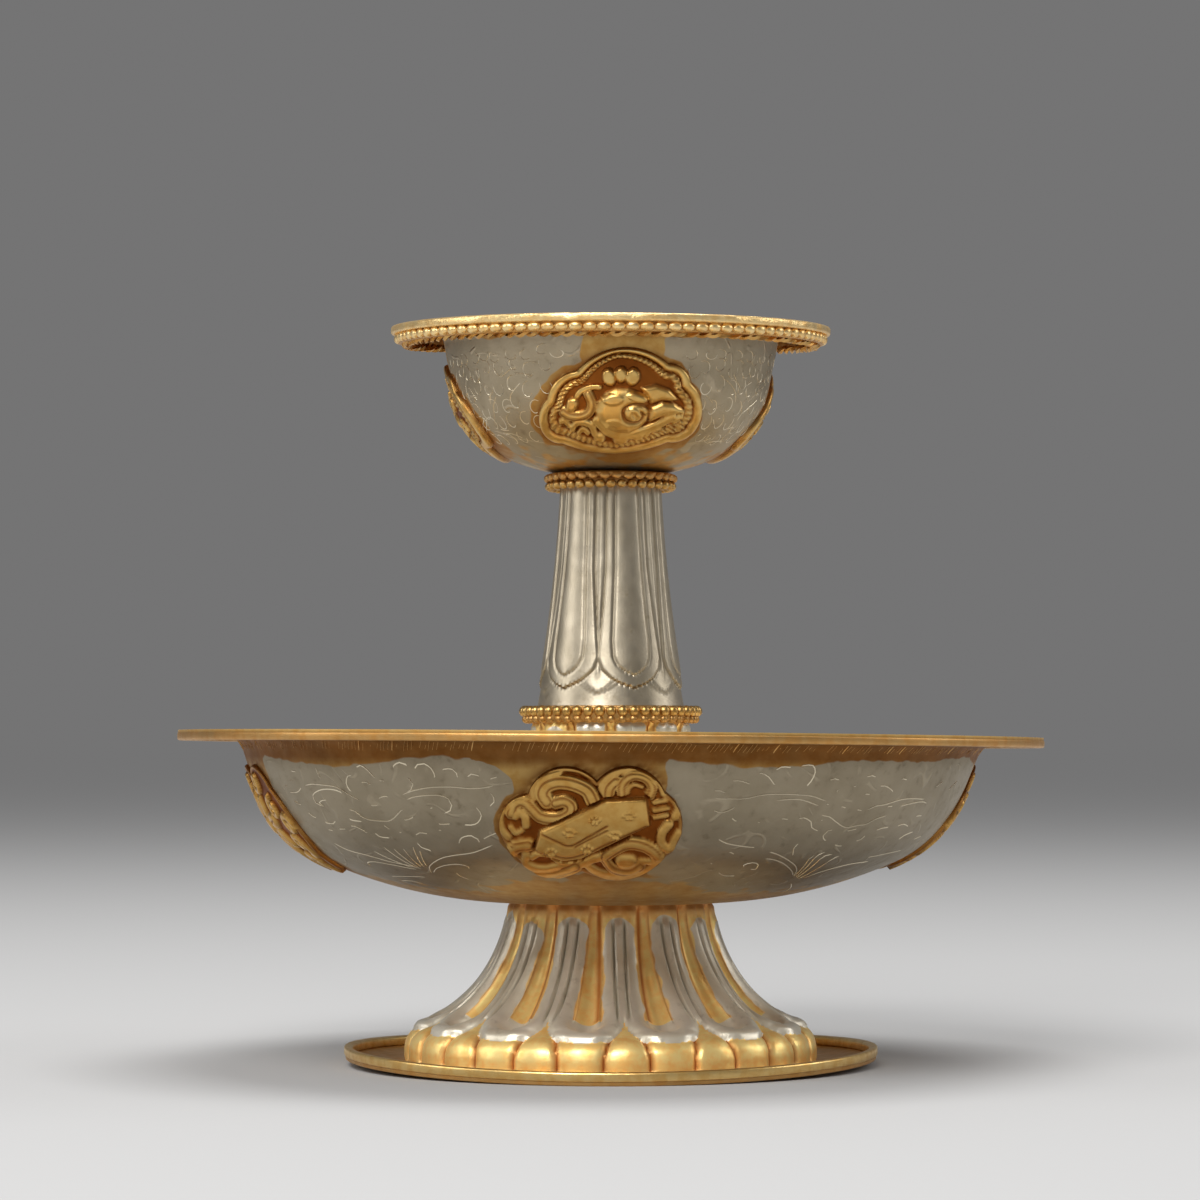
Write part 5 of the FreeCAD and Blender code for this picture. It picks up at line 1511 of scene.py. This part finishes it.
rope_gilt = metal("rope_gilt", orange=0.3, tint=(0.92, 0.86, 0.76))
twist = twisted_wire(
    "cup_rim_twisted_wire", ring_radius=0.02865, height=0.10058, strand=0.00032, turns=54,
    steps=18,
)
sway(twist, cup_sway)
dress(twist, GOBLET, rope_gilt, "gilt", "cup_rim_twist")

# ---------------------------------------------------------------- cup medallions
# Four smaller plaques of a trefoil shape with a smooth rim and a milled line within it.
# Front and back show a conch with leaves and curls, the sides a flower.


def pebble(x, y, wide, high, tilt):
    """The outline of a small boss, cut with few corners and set on a 0.1 mm grid."""
    return np.round(oval(x, y, wide, -high, tilt, 14), 1)


conch_shapes = [
    ("mound", pebble(-1.05, 2.06, 0.89, 1.11, 11), 0.6, 0.95),
    ("mound", pebble(2.05, 2.13, 0.93, 1.17, -12), 0.6, 0.95),
    ("mound", pebble(0.49, 2.39, 0.82, 1.06, 1), 0.6, 1.05),
    ("mound", (3.3, 0.7, 5.2, 1.1, 6.9, 0.6, 8.1, -0.6, 7.1, -0.8, 5.9, -0.7, 4.5, -1.2,
     3.9, -0.2), 0.7, 1),
    ("mound", (4.6, -1.8, 6.1, -1.1, 7.6, -1.2, 9.4, -2.2, 7.7, -2.4, 5.9, -2.8, 4.4, -3.4),
     0.7, 1),
    ("line", (-2.7, -3.3, -1.1, -4.7, 1.3, -5.2, 3.9, -4.5, 5.8, -3.7, 7.5, -2.7), 0.55, 0.85),
    ("mound", pebble(0.748, -2.173, 3.567, 2.817, 0.7), 1.3, 1.15),
    ("mound", pebble(-0.358, -0.718, 1.721, 0.921, 8.3), 0.8, 1.3),
    ("mound", pebble(2.51, -0.49, 1.59, 0.75, -13), 0.7, 1.28),
    ("mound", pebble(-0.17, -3.41, 1.6, 0.75, -8), 0.7, 1.24),
    ("cut", (4.3, -1.8, 3.3, -1.3, 1.9, -1.3, 0.9, -1.9, 1, -2.9, 1.8, -3.4, 3, -3.3, 3.6, -2.6,
     3.2, -2.2), 0.3, 0.42),
    ("line", (2.9, -2.5, 2.5, -2, 1.8, -2, 1.6, -2.5, 2.1, -2.9), 0.42, 1.35),
    ("line", (-2.3, 0.8, -3.4, 0.8, -4.6, 0.4, -5.2, -0.3), 0.42, 0.85),
    ("line", (-3.8, 0, -3.3, -1.2, -3.6, -2.3, -4.7, -2.8, -6.1, -2.7, -7, -2.2), 0.66, 0.95),
    ("mound", pebble(-5.87, -1.39, 0.72, 0.84, -20), 0.5, 0.95),
    ("line", (-7.3, -3.4, -6.8, -3.2, -6.3, -3.9), 0.36, 0.75),
    ("line", (-5.8, -4.4, -5.4, -3.7, -4.4, -3.5, -3.3, -3.9, -2.8, -4.9), 0.45, 0.85),
    ("line", (-4.9, -4.8, -4.4, -4.3, -3.7, -4.8), 0.34, 0.78),
    ("mound", pebble(-2.18, -5.43, 0.73, 0.57, 1), 0.5, 0.85),
    ("mound", pebble(0.68, -5.65, 0.97, 0.6, 2), 0.5, 0.85),
    ("mound", pebble(3.1, -5.41, 0.76, 0.5, 3), 0.5, 0.85),
    ("line", (4, -5.2, 4.4, -4.3, 5.5, -3.8, 6.5, -4), 0.45, 0.85),
    ("line", (5, -5, 5.7, -4.5, 6.4, -4.8), 0.34, 0.78),
    ("line", (7.5, -3.9, 8, -3, 9, -2.7), 0.42, 0.82),
    ("line", (7.4, -4.7, 8.3, -4, 9.5, -3.6), 0.3, 0.7),
]
bloom_shapes = []
for petal in range(6):
    lean = radians(60 * petal + 30)
    middle = (2.3 * cos(lean), -0.6 + 2.2 * sin(lean))
    bloom_shapes.append(("mound", oval(*middle, 1.6, 1.0, 60 * petal + 30), 0.8, 0.90))
bloom_shapes.append(("mound", oval(0, -0.6, 1.2, 1.1), 0.8, 1.05))
bloom_shapes += curls_each_side(
    ((5.9, 0.3, 90), (6.4, -3.0, 270), (3.0, -4.9, 200), (2.6, 4.3, 20)),
    radius=1.3, sweep=380, width=0.45, top=0.80,
)

chased_gilt = metal("chased_gilt", orange="reds", bump=0.00006, tint=(0.80, 0.75, 0.64))
set_medallions(
    "cup", GOBLET, chased_gilt, CUP_MEDALLIONS, CUP_OUTLINE, conch_shapes, bloom_shapes,
    CUP_MIDDLE, cup_walk, border=(1.25, 0.75, 1.25),
)
